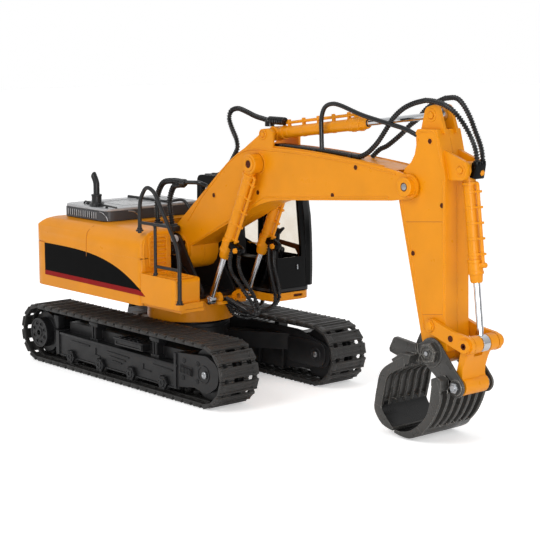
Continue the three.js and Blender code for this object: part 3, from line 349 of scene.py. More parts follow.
# ---- carried-over CAD nodes ----------------------------------------------------------------
def finish_node(node, slot):
    """Gives a CAD node its material, and rounds its corners with modifiers that leave its mesh alone."""
    body = frame["nodes"][node]
    body.data.materials.clear()
    body.data.materials.append(SLOT_MATERIALS[slot])
    stored = body.data.attributes.get("custom_normal")
    if stored:
        body.data.attributes.remove(stored)
    for polygon in body.data.polygons:
        polygon.use_smooth = True
    weld = body.modifiers.new("weld", "WELD")
    weld.merge_threshold = 0.005 * MM
    flat = body.modifiers.new("flat", "DECIMATE")
    flat.decimate_type = "DISSOLVE"
    flat.angle_limit = math.radians(1)
    bevel = body.modifiers.new("bevel", "BEVEL")
    bevel.width = NODE_ROUNDING * MM
    bevel.segments = 2
    bevel.limit_method = "ANGLE"
    bevel.angle_limit = SHARP_EDGE
    bevel.use_clamp_overlap = True
    bevel.harden_normals = True


for part in frame["record"]["subparts"]:
    finish_node(part["node"], part["material_slot"])


# ---- shapes, each a list of corners and a list of faces ---------------------------------------
SPOTS = {"x": (1, 2, 0), "y": (0, 2, 1), "z": (0, 1, 2)}


def ring_faces(rings, sides):
    """Faces of a closed shape made of rings of corners, with a face over each end."""
    faces = [list(range(sides))[::-1], [(rings - 1) * sides + i for i in range(sides)]]
    for ring in range(rings - 1):
        base = ring * sides
        for i in range(sides):
            j = (i + 1) % sides
            faces.append([base + i, base + j, base + sides + j, base + sides + i])
    return faces


def lathe(start, end, profile, sides=24):
    """A turned shape. profile is (distance from start towards end, radius) pairs; its ends are closed."""
    start, end = Vector(start), Vector(end)
    along = (end - start).normalized()
    across = along.orthogonal().normalized()
    up = along.cross(across)
    corners = []
    for distance, radius in profile:
        for i in range(sides):
            angle = 2 * math.pi * (i + 0.5) / sides
            spoke = across * math.cos(angle) + up * math.sin(angle)
            corners.append(start + along * distance + spoke * radius)
    return corners, ring_faces(len(profile), sides)


def turned(centre, axis, side, profile, sides=20):
    """A lathe shape that faces along the x, y or z axis, to its plus or minus side."""
    start = Vector(centre)
    ahead = Vector({"x": (side, 0, 0), "y": (0, side, 0), "z": (0, 0, side)}[axis])
    return lathe(start, start + ahead, profile, sides)


def lifted(outline, axis, depth):
    """The points of a flat outline, set at a depth along an axis."""
    corners = []
    for point in outline:
        corner = [0, 0, 0]
        for spot, value in zip(SPOTS[axis], (*point, depth)):
            corner[spot] = value
        corners.append(Vector(corner))
    return corners


def prism(outline, axis, start, end):
    """A flat outline pushed along the x, y or z axis from start to end."""
    return lifted(outline, axis, start) + lifted(outline, axis, end), ring_faces(2, len(outline))


def block(x0, x1, y0, y1, z0, z1):
    return prism([(x0, y0), (x1, y0), (x1, y1), (x0, y1)], "z", z0, z1)


def softened(shape, width=0.3, segments=2):
    """The shape with its sharp edges rounded off."""
    mesh = bmesh.new()
    corners = [mesh.verts.new(c) for c in shape[0]]
    for face in shape[1]:
        mesh.faces.new([corners[i] for i in face])
    bmesh.ops.recalc_face_normals(mesh, faces=mesh.faces)
    sharp = [e for e in mesh.edges if e.is_manifold and e.calc_face_angle(0) > SHARP_EDGE]
    bmesh.ops.bevel(mesh, geom=sharp, offset=width, segments=segments, profile=0.5, affect="EDGES",
                    clamp_overlap=True)
    mesh.verts.index_update()
    result = [v.co.copy() for v in mesh.verts], [[v.index for v in f.verts] for f in mesh.faces]
    mesh.free()
    return result


def pad(x0, x1, y0, y1, z0, z1, width=0.3, segments=2):
    """A block with rounded edges."""
    return softened(block(x0, x1, y0, y1, z0, z1), width, segments)


def plate(outline, y0, y1, width=0.5):
    """An outline in x and z with thickness along y and rounded edges."""
    return softened(prism(outline, "y", y0, y1), width)


def frame_ring(outer, inner, axis, start, end, width=0.3):
    """A flat frame between two outlines of as many points each, with rounded edges."""
    count = len(outer)
    corners, faces = [], []
    for outline, depth in ((outer, start), (outer, end), (inner, end), (inner, start)):
        corners += lifted(outline, axis, depth)
    for loop in range(4):
        for i in range(count):
            j = (i + 1) % count
            after = (loop + 1) % 4
            faces.append([loop * count + i, loop * count + j, after * count + j, after * count + i])
    return softened((corners, faces), width)


def mirrored(shape):
    """The same shape on the machine's other side."""
    corners, faces = shape
    return [Vector((c[0], -c[1], c[2])) for c in corners], faces


def on_side(side, shapes):
    """Shapes that are drawn on the right, moved to the left where side asks for it."""
    return [mirrored(shape) for shape in shapes] if side > 0 else shapes


def arc(centre, radius, start, end, steps=8):
    """Points on an arc, with its angles in degrees."""
    points = []
    for i in range(steps + 1):
        angle = math.radians(start + (end - start) * i / steps)
        points.append((centre[0] + radius * math.cos(angle), centre[1] + radius * math.sin(angle)))
    return points


def round_places(centre, radius, count, shift=0.0):
    """Evenly spaced points on a circle, turned on by a share of their spacing."""
    angles = [2 * math.pi * (i + shift) / count for i in range(count)]
    return [(centre[0] + radius * math.cos(angle), centre[1] + radius * math.sin(angle)) for angle in angles]


def rounded(u0, u1, v0, v1, radius, steps=4):
    """A rectangle with round corners."""
    points = []
    for centre, start in (((u1 - radius, v1 - radius), 0), ((u0 + radius, v1 - radius), 90),
                          ((u0 + radius, v0 + radius), 180), ((u1 - radius, v0 + radius), 270)):
        points += arc(centre, radius, start, start + 90, steps)
    return points


def capsule(first, second, radius, steps=6):
    """A round-ended bar between two points of a plane."""
    heading = math.degrees(math.atan2(second[1] - first[1], second[0] - first[0]))
    return (arc(second, radius, heading - 90, heading + 90, steps)
            + arc(first, radius, heading + 90, heading + 270, steps))


def strap(first, first_radius, second, second_radius, steps=14):
    """The outline round two circles, in x and z."""
    away = (second[0] - first[0], second[1] - first[1])
    heading = math.degrees(math.atan2(away[1], away[0]))
    spread = math.degrees(math.acos((first_radius - second_radius) / math.hypot(*away)))
    return (arc(second, second_radius, heading - spread, heading + spread, steps)
            + arc(first, first_radius, heading + spread, heading + 360 - spread, steps))


def smooth_path(points, spacing):
    """Evenly spaced points on a smooth curve through the given ones."""
    knots = [Vector(p) for p in points]
    knots = [knots[0] * 2 - knots[1]] + knots + [knots[-1] * 2 - knots[-2]]
    dense = []
    steps = 24
    for i in range(1, len(knots) - 2):
        a, b, c, d = knots[i - 1:i + 3]
        for k in range(steps):
            t = k / steps
            dense.append((b * 2 + (c - a) * t + (a * 2 - b * 5 + c * 4 - d) * t ** 2
                          + (b * 3 - a - c * 3 + d) * t ** 3) / 2)
    dense.append(knots[-2])
    lengths = [0.0]
    for first, second in zip(dense, dense[1:]):
        lengths.append(lengths[-1] + (second - first).length)
    count = max(2, round(lengths[-1] / spacing))
    path, k = [], 0
    for i in range(count + 1):
        goal = lengths[-1] * i / count
        while k < len(dense) - 2 and lengths[k + 1] < goal:
            k += 1
        share = (goal - lengths[k]) / max(lengths[k + 1] - lengths[k], 1e-9)
        path.append(dense[k].lerp(dense[k + 1], min(1.0, share)))
    return path


def bent_path(points, bend, spacing=1.0):
    """Straight runs joined by bends that start the given distance from each corner."""
    knots = [Vector(p) for p in points]
    path = [knots[0]]
    for before, corner, after in zip(knots, knots[1:], knots[2:]):
        back = before - corner
        ahead = after - corner
        reach = min(bend, back.length * 0.48, ahead.length * 0.48)
        start = corner + back.normalized() * reach
        end = corner + ahead.normalized() * reach
        steps = max(4, round(reach / spacing))
        for i in range(steps + 1):
            t = i / steps
            path.append(start * (1 - t) ** 2 + corner * (2 * t * (1 - t)) + end * t ** 2)
    return path + [knots[-1]]


def sweep(path, radius, sides=10, swell=lambda i: 1):
    """A round bar along a path; swell(i) scales its ring at point i."""
    heading = (path[1] - path[0]).normalized()
    across = heading.orthogonal().normalized()
    corners = []
    for i, point in enumerate(path):
        ahead = (path[min(i + 1, len(path) - 1)] - path[max(i - 1, 0)]).normalized()
        across = (across - ahead * across.dot(ahead)).normalized()
        up = ahead.cross(across)
        for k in range(sides):
            angle = 2 * math.pi * k / sides
            corners.append(point + (across * math.cos(angle) + up * math.sin(angle)) * radius * swell(i))
    return corners, ring_faces(len(path), sides)


def hose(points, radius, sides=10):
    """A smooth hose on a curve through points."""
    return sweep(smooth_path(points, radius), radius, sides)


def ribbed_hose(points, radius, sides=10):
    """A hose with a raised rib in every pitch of its length."""
    rings_per_rib = 4
    groove = 0.36
    return sweep(smooth_path(points, HOSE_PITCH / rings_per_rib), radius, sides,
                 lambda i: 1 - groove * (i % rings_per_rib >= 2))


def pipe(points, radius, bend=4, sides=12):
    """A bent metal or plastic pipe with straight runs."""
    return sweep(bent_path(points, bend), radius, sides)


def screw(centre, axis, side, radius=2.0):
    """A pan-head screw with a dished socket. Its shape stays a closed solid."""
    return turned(centre, axis, side, [
        (-0.6, radius), (0.5, radius), (0.9, radius * 0.86), (1.05, radius * 0.6), (1.05, radius * 0.46),
        (0.35, radius * 0.42)], 16)


def ring(centre, axis, side, outer, inner, height):
    """A raised round collar with a sunken middle."""
    edge = min(0.3, height / 3)
    return turned(centre, axis, side, [
        (-0.4, outer), (height - edge, outer), (height, outer - edge), (height, inner + edge),
        (height - edge, inner), (0.12, inner)], 24)


def hole_shade_dish(centre, side, radius):
    """A dark dish, facing sideways, painted as the shade deep inside a hole within a collar."""
    return turned(centre, "y", side, [
        (-0.5, radius), (0.34, radius), (0.4, radius * 0.86), (0.2, radius * 0.5)], 18)


def hex_head(centre, side, radius, height):
    """A plain hexagonal bolt head with a chamfer, facing sideways."""
    return turned(centre, "y", side, [(-0.5, radius), (height * 0.75, radius), (height, radius * 0.84)], 6)


def nut(centre, side, radius, height):
    """A hexagonal nut with a chamfer and a threaded end with a dished middle, facing sideways."""
    body = turned(centre, "y", side, [(0, radius), (height * 0.8, radius), (height, radius * 0.86)], 6)
    end = turned(centre, "y", side, [
        (height - 0.2, radius * 0.52), (height + 1.2, radius * 0.52), (height + 1.5, radius * 0.4),
        (height + 0.9, radius * 0.3)], 18)
    return [body, end]


# ---- pieces ------------------------------------------------------------------------------------
def make_mesh(name, shapes, material):
    """One mesh of closed shapes, smooth but for its creases, with a material."""
    corners, faces = [], []
    for shape_corners, shape_faces in shapes:
        base = len(corners)
        corners += [in_frame(c) for c in shape_corners]
        faces += [[base + i for i in face] for face in shape_faces]
    data = bpy.data.meshes.new(name)
    data.from_pydata(corners, [], faces)
    mesh = bmesh.new()
    mesh.from_mesh(data)
    bmesh.ops.recalc_face_normals(mesh, faces=mesh.faces)
    for face in mesh.faces:
        face.smooth = True
    mesh.to_mesh(data)
    mesh.free()
    data.set_sharp_from_angle(angle=CREASE)
    data.materials.append(material)
    made = bpy.data.objects.new(name, data)
    bpy.context.scene.collection.objects.link(made)
    return made


def piece(name, body, slot, shapes, material=None):
    """One mesh made of several closed shapes, riding on a CAD body."""
    made = make_mesh(name, shapes, material or SLOT_MATERIALS[slot])
    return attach(made, body)


def bending_piece(name, slot, shapes):
    """A hose that crosses a joint, made as one mesh fixed in place; it rides on no body."""
    made = make_mesh(name, shapes, SLOT_MATERIALS[slot])
    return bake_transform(made)


def split_hose(points, at):
    """The points up to a place along a list of points, and the points from there on."""
    return points[:at + 1], points[at:]


# ---- tracks ----------------------------------------------------------------------------------
SHOE_COUNT = 52
BAND_RADIUS = 26.4
TRACK_IN = 45
TRACK_OUT = 90
INNER_FACE = 52
WHEEL_FACE = 87
PITCH = (AXLE_X * 4 + 2 * math.pi * BAND_RADIUS) / SHOE_COUNT


def belt_place(distance):
    """The middle of the belt's turn at a distance along it, with its heading and outward direction."""
    straight = AXLE_X * 2
    bend = math.pi * BAND_RADIUS
    run = distance % ((straight + bend) * 2)
    if run < straight:
        turn = 0
        centre = Vector((run - AXLE_X, 0, AXLE_Z))
    elif run < straight + bend:
        turn = (run - straight) / BAND_RADIUS
        centre = Vector((AXLE_X, 0, AXLE_Z))
    elif run < straight * 2 + bend:
        turn = math.pi
        centre = Vector((AXLE_X - (run - straight - bend), 0, AXLE_Z))
    else:
        turn = math.pi + (run - straight * 2 - bend) / BAND_RADIUS
        centre = Vector((-AXLE_X, 0, AXLE_Z))
    out = Vector((math.sin(turn), 0, math.cos(turn)))
    heading = Vector((math.cos(turn), 0, -math.sin(turn)))
    return centre, heading, out


def shoe_shapes():
    """One track shoe: grouser bars, links, end pads and guide tooth; z counts from the loop's middle."""
    half = PITCH / 2
    shapes = [pad(-half + 1.5, half - 1.5, TRACK_IN, TRACK_OUT, 26.6, 28.6, 0.5)]
    for along, height in ((-half + 2.6, 29.5), (0, 29.1), (half - 2.6, 29.5)):
        shapes.append(pad(along - 0.8, along + 0.8, TRACK_IN + 0.8, TRACK_OUT - 0.8, 28.2, height, 0.35))
    for y0, y1 in ((46, 51), (56, 62), (73, 79), (84, 89)):
        shapes.append(pad(-half + 0.1, half - 0.1, y0, y1, 24.9, 27.2, 0.5))
    for y in (TRACK_IN + 4, TRACK_OUT - 4):
        shapes.append(pad(-half + 3.6, half - 3.6, y - 2.6, y + 2.6, 28.4, 29.2, 0.2))
    shapes.append(pad(-1.6, 1.6, 64.5, 70.5, 22.2, 26.8, 0.6))
    return shapes


def track_belt(side_name, side):
    """The whole belt on one side, shoe after shoe round the two wheels."""
    shapes = []
    shoe = shoe_shapes()
    for i in range(SHOE_COUNT):
        centre, heading, out = belt_place((i + 0.5) * PITCH)
        for corners, faces in shoe:
            placed = [centre + heading * c.x + out * c.z + Vector((0, side * c.y, 0)) for c in corners]
            shapes.append((placed, faces))
    belt = piece(f"track_shoes_{side_name}", "undercarriage", "track_rubber", shapes)
    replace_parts(belt, f"track_belt_{side_name}")


def track_trim(side_name, side):
    """Raised lines, ledge, tray, posts, rivets and hub ring on a track frame's outer face."""
    face = -FRAME_FACE
    lines = (((-78.9, 28.7), (-48, 28.1)), ((55.1, 26.8), (83.9, 25.7)),
             ((-18.1, 27.5), (16.7, 26.6)), ((-13.8, 23.4), (10.8, 22.6)), ((-9.5, 19.7), (5, 19)),
             ((-37.5, 27.1), (-37.7, 20.9)), ((-37.7, 20.9), (-30.2, 20.3)),
             ((39.6, 24.6), (39.5, 19.4)), ((39.5, 19.4), (51.1, 19.4)))
    shapes = [plate(capsule(*ends, 0.8), face + 0.3, face - 0.9, 0.25) for ends in lines]
    ledge = [(-98, 32.6), (92, 30.4), (92, 32.6), (-90, 35), (-98, 35)]
    shapes.append(plate(ledge, face + 1, face - 1.3, 0.4))
    shapes.append(plate([(-98, 11.4), (92, 9.6), (92, 11.2), (-98, 13)], face + 1, face - 1.1, 0.4))
    shapes.append(pad(-7.5, 39.5, face + 14, face - 0.6, 42.2, 43.6, 0.4))
    shapes.append(frame_ring(rounded(-5, 37, 36.6, 42, 0.8), rounded(-3, 35, 38, 40.8, 0.5), "y",
                             face + 1, face - 0.4, 0.15))
    for x in (2, 9, 16, 23, 30):
        shapes.append(pad(x - 1.2, x + 1.2, face + 12, face + 1, 43.4, 44.6))
    for x in (-43, 55):
        for side_x in (-2.2, 2.2):
            shapes.append(pad(x + side_x - 0.7, x + side_x + 0.7, face + 4, face + 1.8, 34, 50))
        shapes.append(pad(x - 7, x + 7, face + 13, face + 1.2, 49.4, 52.2, 0.4))
    for x, z in ((101.3, 38.3), (121.1, 38.1), (99.8, 22), (120.2, 21.9)):
        shapes.append(ring((x, face, z), "y", -1, 2.4, 1.5, 0.7))
        shapes.append(turned((x, face, z), "y", -1, [(-0.5, 1.3), (0.5, 1.3), (0.9, 0.7)], 12))
    for i in range(8):
        x = 97.5 + i * 2.1
        z = 30.4 - i * 0.25
        shapes.append(pad(x - 0.6, x + 0.6, face + 0.5, face - 2.1, z - 3, z + 3))
    shapes.append(ring((AXLE_X - 2.5, face, AXLE_Z), "y", -1, 8.4, 7.0, 0.8))
    for z, height in ((17, 15), (37, 13)):
        shapes.append(pad(-113, -105, face + 10, face + 2, z, z + height, 0.5))
    piece(f"track_trim_{side_name}", "undercarriage", "black_plastic", on_side(side, shapes))


def wheel_trim(side_name, side):
    """Rings and rivets on the drive wheel, a bright bolt in the idler, and petals on each roller."""
    face = side * WHEEL_FACE
    sprocket = (-AXLE_X, AXLE_Z)
    centre = (-AXLE_X, face, AXLE_Z)
    shapes = [ring(centre, "y", side, 15.0, 13.4, 0.8), ring(centre, "y", side, 5, 2.8, 1.2)]
    for x, z in round_places(sprocket, 9.6, 8, 0.5):
        shapes.append(ring((x, face, z), "y", side, 2.5, 1.5, 0.7))
    for x, z in round_places(sprocket, 5.4, 4):
        shapes.append(turned((x, face, z), "y", side, [(-0.3, 0.9), (0.5, 0.9), (0.8, 0.5)], 10))
    piece(f"drive_hub_{side_name}", f"drive_wheel_{side_name}", "black_plastic", shapes)
    bolt = turned((AXLE_X, side * (FRAME_FACE + 0.6), AXLE_Z), "y", side, [
        (0, 3.3), (1.3, 3.3), (2.0, 2.5), (2.3, 1.2), (1.8, 0.8)])
    piece(f"idler_bolt_{side_name}", f"idler_wheel_{side_name}", "steel_hardware", [bolt])
    for i, roller_x in enumerate(ROLLER_XS):
        petals = [ring((roller_x, face, ROLLER_Z), "y", side, 3.6, 1.9, 0.9)]
        for x, z in round_places((roller_x, ROLLER_Z), 5.3, 6):
            petals.append(ring((x, face, z), "y", side, 1.5, 0.8, 0.5))
        piece(f"roller_cap_{side_name}_{i + 1}", f"roller_wheel_{side_name}_{i + 1}", "black_plastic", petals)


def inner_wall(side_name, side):
    """Plates, ribs, a collar and a bright bolt on the inner wall of a track frame."""
    face = -INNER_FACE
    plates = ((rounded(88, 145, 17.8, 42, 10), 1.2), (rounded(54, 86, 9, 42, 2), 1.6),
              (rounded(24, 52, 9, 40, 2), 1.0), (rounded(-96, 20, 9, 38, 3), 0.8))
    shapes = [plate(outline, face - 0.3, face + height) for outline, height in plates]
    for x in (53, 87):
        shapes.append(pad(x - 1, x + 1, face - 0.2, face + 3.4, 8.6, 44, 0.5))
    shapes.append(ring((AXLE_X, face + 1.2, AXLE_Z), "y", 1, 6.4, 5.2, 0.6))
    bolt = turned((AXLE_X, face + 1, AXLE_Z), "y", 1, [(0, 2.6), (1.4, 2.6), (2.0, 1.8)], 16)
    piece(f"inner_wall_{side_name}", "undercarriage", "black_plastic", on_side(side, shapes))
    piece(f"inner_bolt_{side_name}", "undercarriage", "steel_hardware", on_side(side, [bolt]))


for name, sign in SIDES.items():
    inner_wall(name, sign)
    track_belt(name, sign)
    track_trim(name, sign)
    wheel_trim(name, sign)


# ---- house -----------------------------------------------------------------------------------
HOUSE_FRONT = 28
RAIL_Y = -73
EXHAUST = (-77, -52)
FAN = (-100, -38)


def swoosh(low, high, power, steps=14):
    """Points of a curve from low to high that starts level and falls faster and faster."""
    points = []
    for i in range(steps + 1):
        t = i / steps
        points.append((low[0] + (high[0] - low[0]) * t, low[1] + (high[1] - low[1]) * t ** power))
    return points


def side_flash():
    """A plain black flash with a red stripe low on it, on both sides of the house."""
    rear = -134
    for name, side in SIDES.items():
        tip = (34.6, 87.4) if side < 0 else (-26, 88)
        near = side * (HOUSE_SIDE - 0.2)
        out = side * (HOUSE_SIDE + 0.14)
        foot = [(tip[0], tip[1] - 0.2), (rear, 88.4)]
        top = swoosh((rear, 121), tip, 3.6, 30)
        field = prism(top + foot, "y", near, out)
        piece(f"side_flash_{name}", "upper", "black_plastic", [field], DECAL_BLACK)
        stripe_top = [(x, min(z, 93 - 0.7 * (x - rear) / (tip[0] - rear))) for x, z in top]
        red = prism(stripe_top + foot, "y", near, out + side * 0.06)
        piece(f"side_stripe_{name}", "upper", "yellow_shell", [red], DECAL_RED)


def roof_edge(z):
    """How far the house's side is from the middle at a height: it curves in under the roof."""
    if z <= HOUSE_TOP - ROOF_ROUND:
        return HOUSE_SIDE
    return HOUSE_SIDE - ROOF_ROUND * (1 - math.sqrt((HOUSE_TOP - z) / ROOF_ROUND)) ** 2


def house_louvre():
    """Frame, slats and scooped edge of the vent on the house's front."""
    front = HOUSE_FRONT
    shapes = [frame_ring(rounded(-68, -45, 112, 143.5, 4), rounded(-65.6, -47.4, 114.4, 141.1, 2.4), "x",
                         front - 0.4, front + 1.3, 0.35)]
    for i in range(6):
        z = 116.6 + i * 4.2
        slat = [(front - 0.3, z), (front + 1.1, z + 0.4), (front + 1.1, z + 1.6), (front - 0.3, z + 3.2)]
        shapes.append(plate(slat, -66, -47, 0.2))
    scoop = [(-71, 110), (-72.6, 120), (-73, 132), (-71.6, 140)]
    shapes.append(hose([(front - 0.2, y, z) for y, z in scoop], 0.8, 8))
    piece("house_louvre", "upper", "yellow_shell", shapes)


def house_trim():
    """Panel lines and bands on the house's sides, a round knob and the counterweight's screws."""
    seams, bands = [], []
    for side in SIDES.values():
        line = [(-60.4, 115), (-60.5, 128), (-61.3, 135), (-61.4, 139.4), (-58.6, 144.8)]
        seams.append(hose([(x, side * roof_edge(z), z) for x, z in line], 0.3, 6))
        bands.append(block(-133, 27, side * (HOUSE_SIDE - 0.9), side * (HOUSE_SIDE + 0.03), 121.2, 122.4))
    piece("house_seams", "upper", "yellow_shell", seams, SEAM)
    piece("house_side_bands", "upper", "yellow_shell", bands)
    knob = turned((26, -38, 138), "x", 1, [(0, 2.2), (2.5, 2.2), (3, 3.6), (5, 3.9), (6.6, 3), (7.2, 1.4)])
    piece("house_knob", "upper", "grey_plastic", [knob], HOOD_COVER)
    screws = [screw((-150.5, y, 100), "x", -1, 2.2) for y in (-45, 45)]
    piece("house_screws", "upper", "steel_hardware", screws, SCREW)


def rear_grille():
    """Slatted grille on the counterweight."""
    back = -156.6
    shapes = [frame_ring(rounded(-42, 42, 124, 138, 3), rounded(-40, 40, 126, 136, 2), "x",
                         back + 2.5, back - 0.4)]
    for i in range(13):
        y = -36 + i * 6
        shapes.append(pad(back - 0.2, back + 2, y - 1.4, y + 1.4, 126, 136))
    piece("rear_grille", "upper", "black_plastic", shapes)


def hood_cover():
    """Light cover on the hood, with a raised line on it."""
    z = HOOD_TOP
    cover = softened(prism(rounded(-123.8, -49.2, -59.8, 57.8, 8), "z", z - 1.9, z + 0.9), 0.8)
    line = frame_ring(rounded(-108, -62, -28, 45, 5), rounded(-106.8, -63.2, -26.8, 43.8, 4), "z",
                      z + 0.5, z + 1.3, 0.25)
    piece("hood_cover", "upper", "grey_plastic", [cover, line], HOOD_COVER)


def hood_fan_guard():
    """Two rings joined by curved spokes."""
    z = HOOD_TOP + 0.7
    fan = [ring((*FAN, z), "z", 1, 9.5, 8.2, 1.0), ring((*FAN, z), "z", 1, 2.6, 1.2, 1.1)]
    for i in range(8):
        angle = 2 * math.pi * i / 8
        ends = [(FAN[0] + reach * math.cos(angle + bend), FAN[1] + reach * math.sin(angle + bend), z + 0.5)
                for reach, bend in ((2, 0), (5.5, 0.25), (8.8, 0.35))]
        fan.append(hose(ends, 0.45, 6))
    piece("hood_fan_guard", "upper", "black_plastic", fan)


def hood_vents():
    """Light bars between the slots in the hood's sides and back."""
    vents = []
    for y, out in ((-60, -0.5), (58, 0.5)):
        for i in range(14):
            x = -115 + i * 3.7
            vents.append(pad(x - 0.5, x + 0.5, y, y + out, 150, 156.4, 0.2))
    for i in range(14):
        y = -50 + i * 7.6
        vents.append(pad(-124.6, -123, y - 1.6, y + 1.6, 150, 156.8))
    piece("hood_vents", "upper", "grey_plastic", vents, HOOD_COVER)


def hood_lines():
    """Two bright lines painted as highlights on the hood's front corners, and the bars beside the exhaust on their
    posts.
    """
    # Thin steel strips that paint the highlights along the hood's rounded front corners.
    lines = [hose([(-61, -60.1, 157.4), (-55.6, -59.9, 156.4), (-52.4, -58.8, 153.6), (-50.6, -57.4, 148.8)],
                  0.5, 8),
             hose([(-49.6, -34, 157.4), (-48.8, -27, 156), (-48.8, -22.6, 152.6), (-48.8, -20.6, 148.8)],
                  0.7, 8)]
    piece("hood_corner_highlights", "upper", "steel_hardware", lines)
    z = HOOD_TOP
    bars = [pipe([(-106, -47, z + 1), (-104, -47.3, z + 3.4), (-35, -58.2, z + 3.4)], 0.9, 2),
            hose([(-90, -48, z + 3), (-84, -55, z + 3), (-70, -57.4, z + 1.4)], 0.7, 8)]
    posts = [turned((x, y, z + 0.4), "z", 1, [(0, 1.5), (3, 1.1)], 12)
             for x, y in ((-97, -48.4), (-56, -54.9))]
    piece("hood_bars", "upper", "black_plastic", bars + posts)


def slanted_pipe(path, radius, bore, depth, slant, sides=24):
    """A pipe along a path whose open end is cut at a slant, with a blind bore."""
    corners = sweep(path, radius, sides)[0]
    heading = (path[-1] - path[-2]).normalized()
    rim_corners = corners[-sides:]
    spokes = [corner - path[-1] for corner in rim_corners]
    shears = [heading * spoke.x * slant for spoke in spokes]
    outside = [path[-1] + spoke + shear for spoke, shear in zip(spokes, shears)]
    inside = [path[-1] + (spoke + shear) * bore for spoke, shear in zip(spokes, shears)]
    floor_ring = [corner - heading * depth for corner in inside]
    return corners[:-sides] + outside + inside + floor_ring, ring_faces(len(path) + 2, sides)


def exhaust():
    """Flanged pipe with a wide collar, bent towards the rear, with a hollow tip cut at a slant."""
    x, y = EXHAUST
    collar = turned((x, y, HOOD_TOP), "z", 1, [
        (0.4, 7), (1.6, 7), (2.2, 6.2), (4.4, 5.6), (4.6, 4.9), (11.0, 4.9), (11.4, 5.3), (12.6, 5.3),
        (13, 4.9), (13, 3.4)], 28)
    bend = [(x, y, 172), (x, y, 180), (x - 0.2, y, 184), (x - 1.8, y, 187.6), (x - 4.4, y, 191.4)]
    stack = slanted_pipe(smooth_path(bend, 0.8), 3.1, 0.74, 3, 0.9)
    bolts = [turned((*place, HOOD_TOP + 1.6), "z", 1, [(-0.5, 0.9), (0.6, 0.9), (0.9, 0.5)], 6)
             for place in round_places(EXHAUST, 6.3, 4, 0.5)]
    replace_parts(piece("exhaust_stack", "upper", "black_plastic", [collar, stack] + bolts), "exhaust_pipe")


def grab_rail():
    """The bent rail beside the steps, as round pipe on three feet."""
    y = RAIL_Y
    pipes = [pipe([(22, y, 146), (23, y, 178), (33, y, 191), (45, y, 187), (79, y, 138), (82, y, 124),
                   (82, y, 82.5)], 1.9, 9),
             pipe([(22.5, y, 156), (46, y, 156), (46, y, 101)], 1.5, 4),
             pipe([(45.5, y, 156), (66, y, 156)], 1.5),
             pipe([(46, y, 117), (82, y, 117)], 1.5)]
    feet = [turned((82, y, 85), "z", 1, [(0, 3.6), (1.2, 3.6), (1.6, 2.8), (3.6, 2.6), (4, 1.9)]),
            turned((46, y, 106), "z", 1, [(0, 3.2), (2.2, 3.2), (2.8, 2.4), (4.6, 2.1)]),
            turned((22, y, 147.6), "z", 1, [(0, 3.6), (1.4, 3.6), (1.8, 2.6), (3.6, 2.3)])]
    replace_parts(piece("grab_rail", "upper", "black_plastic", pipes + feet), "handrail")


def hood_rail():
    """The low rail along the hood, on three short posts."""
    y = 20
    z = HOOD_TOP + 1.9
    rail = pipe([(-122, y, z), (-56, y, z), (-28, y, z + 5), (-13, y, 151)], 1.5, 8)
    posts = [turned((x, y, HOOD_TOP - 0.5), "z", 1, [(0, 2.6), (1, 2.6), (1.8, 1.8)], 16)
             for x in (-118, -90, -62)]
    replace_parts(piece("hood_hand_rail", "upper", "black_plastic", [rail] + posts), "hood_rail")


def toolbox_trim():
    """Lid line and tread studs on the box in front of the house."""
    shapes = [frame_ring(rounded(32, 76, -73, -50, 3), rounded(34, 74, -71, -52, 2), "z", 108, 109.2)]
    for i in range(4):
        for k in range(3):
            shapes.append(pad(38 + i * 10, 44 + i * 10, -68 + k * 7, -65 + k * 7, 108, 108.9, 0.2))
    piece("toolbox_tread", "upper", "yellow_shell", shapes)


def bracket_trim():
    """Gussets on the boom bracket's cheeks and the nuts of the boom foot pin."""
    ribs, nuts = [], []
    for side in SIDES.values():
        for ends in (((-20, 92), (4, 112)), ((42, 92), (16, 112))):
            ribs.append(plate(capsule(*ends, 1.2), side * 20.8, side * 22.2, 0.4))
        nuts += nut((BOOM_FOOT[0], side * 23.2, BOOM_FOOT[1]), side, 5.2, 2.2)
    piece("bracket_ribs", "upper", "black_plastic", ribs)
    piece("boom_foot_nuts", "upper", "steel_hardware", nuts, SCREW)


side_flash()
house_louvre()
house_trim()
rear_grille()
hood_cover()
hood_fan_guard()
hood_vents()
hood_lines()
exhaust()
grab_rail()
hood_rail()
toolbox_trim()
bracket_trim()


# ---- cab -------------------------------------------------------------------------------------
CAB_NEAR = 29.9
CAB_FAR = 76.9
LEVER_Y = 53


def cab_windows():
    """Smoked panes set into the window openings of the far side and the back."""
    far = CAB_FAR - 0.7
    panes = [prism([(29, 115), (85, 115), (80, 183), (29, 183)], "y", far, far + 0.8),
             prism([(-15, 127), (23, 115), (23, 183), (-13, 183)], "y", far, far + 0.8),
             block(-20.4, -19.8, 37.5, 69, 149, 181)]
    piece("cab_windows", "upper", "gloss_black_plastic", [softened(pane, 0.1) for pane in panes], WINDOW)


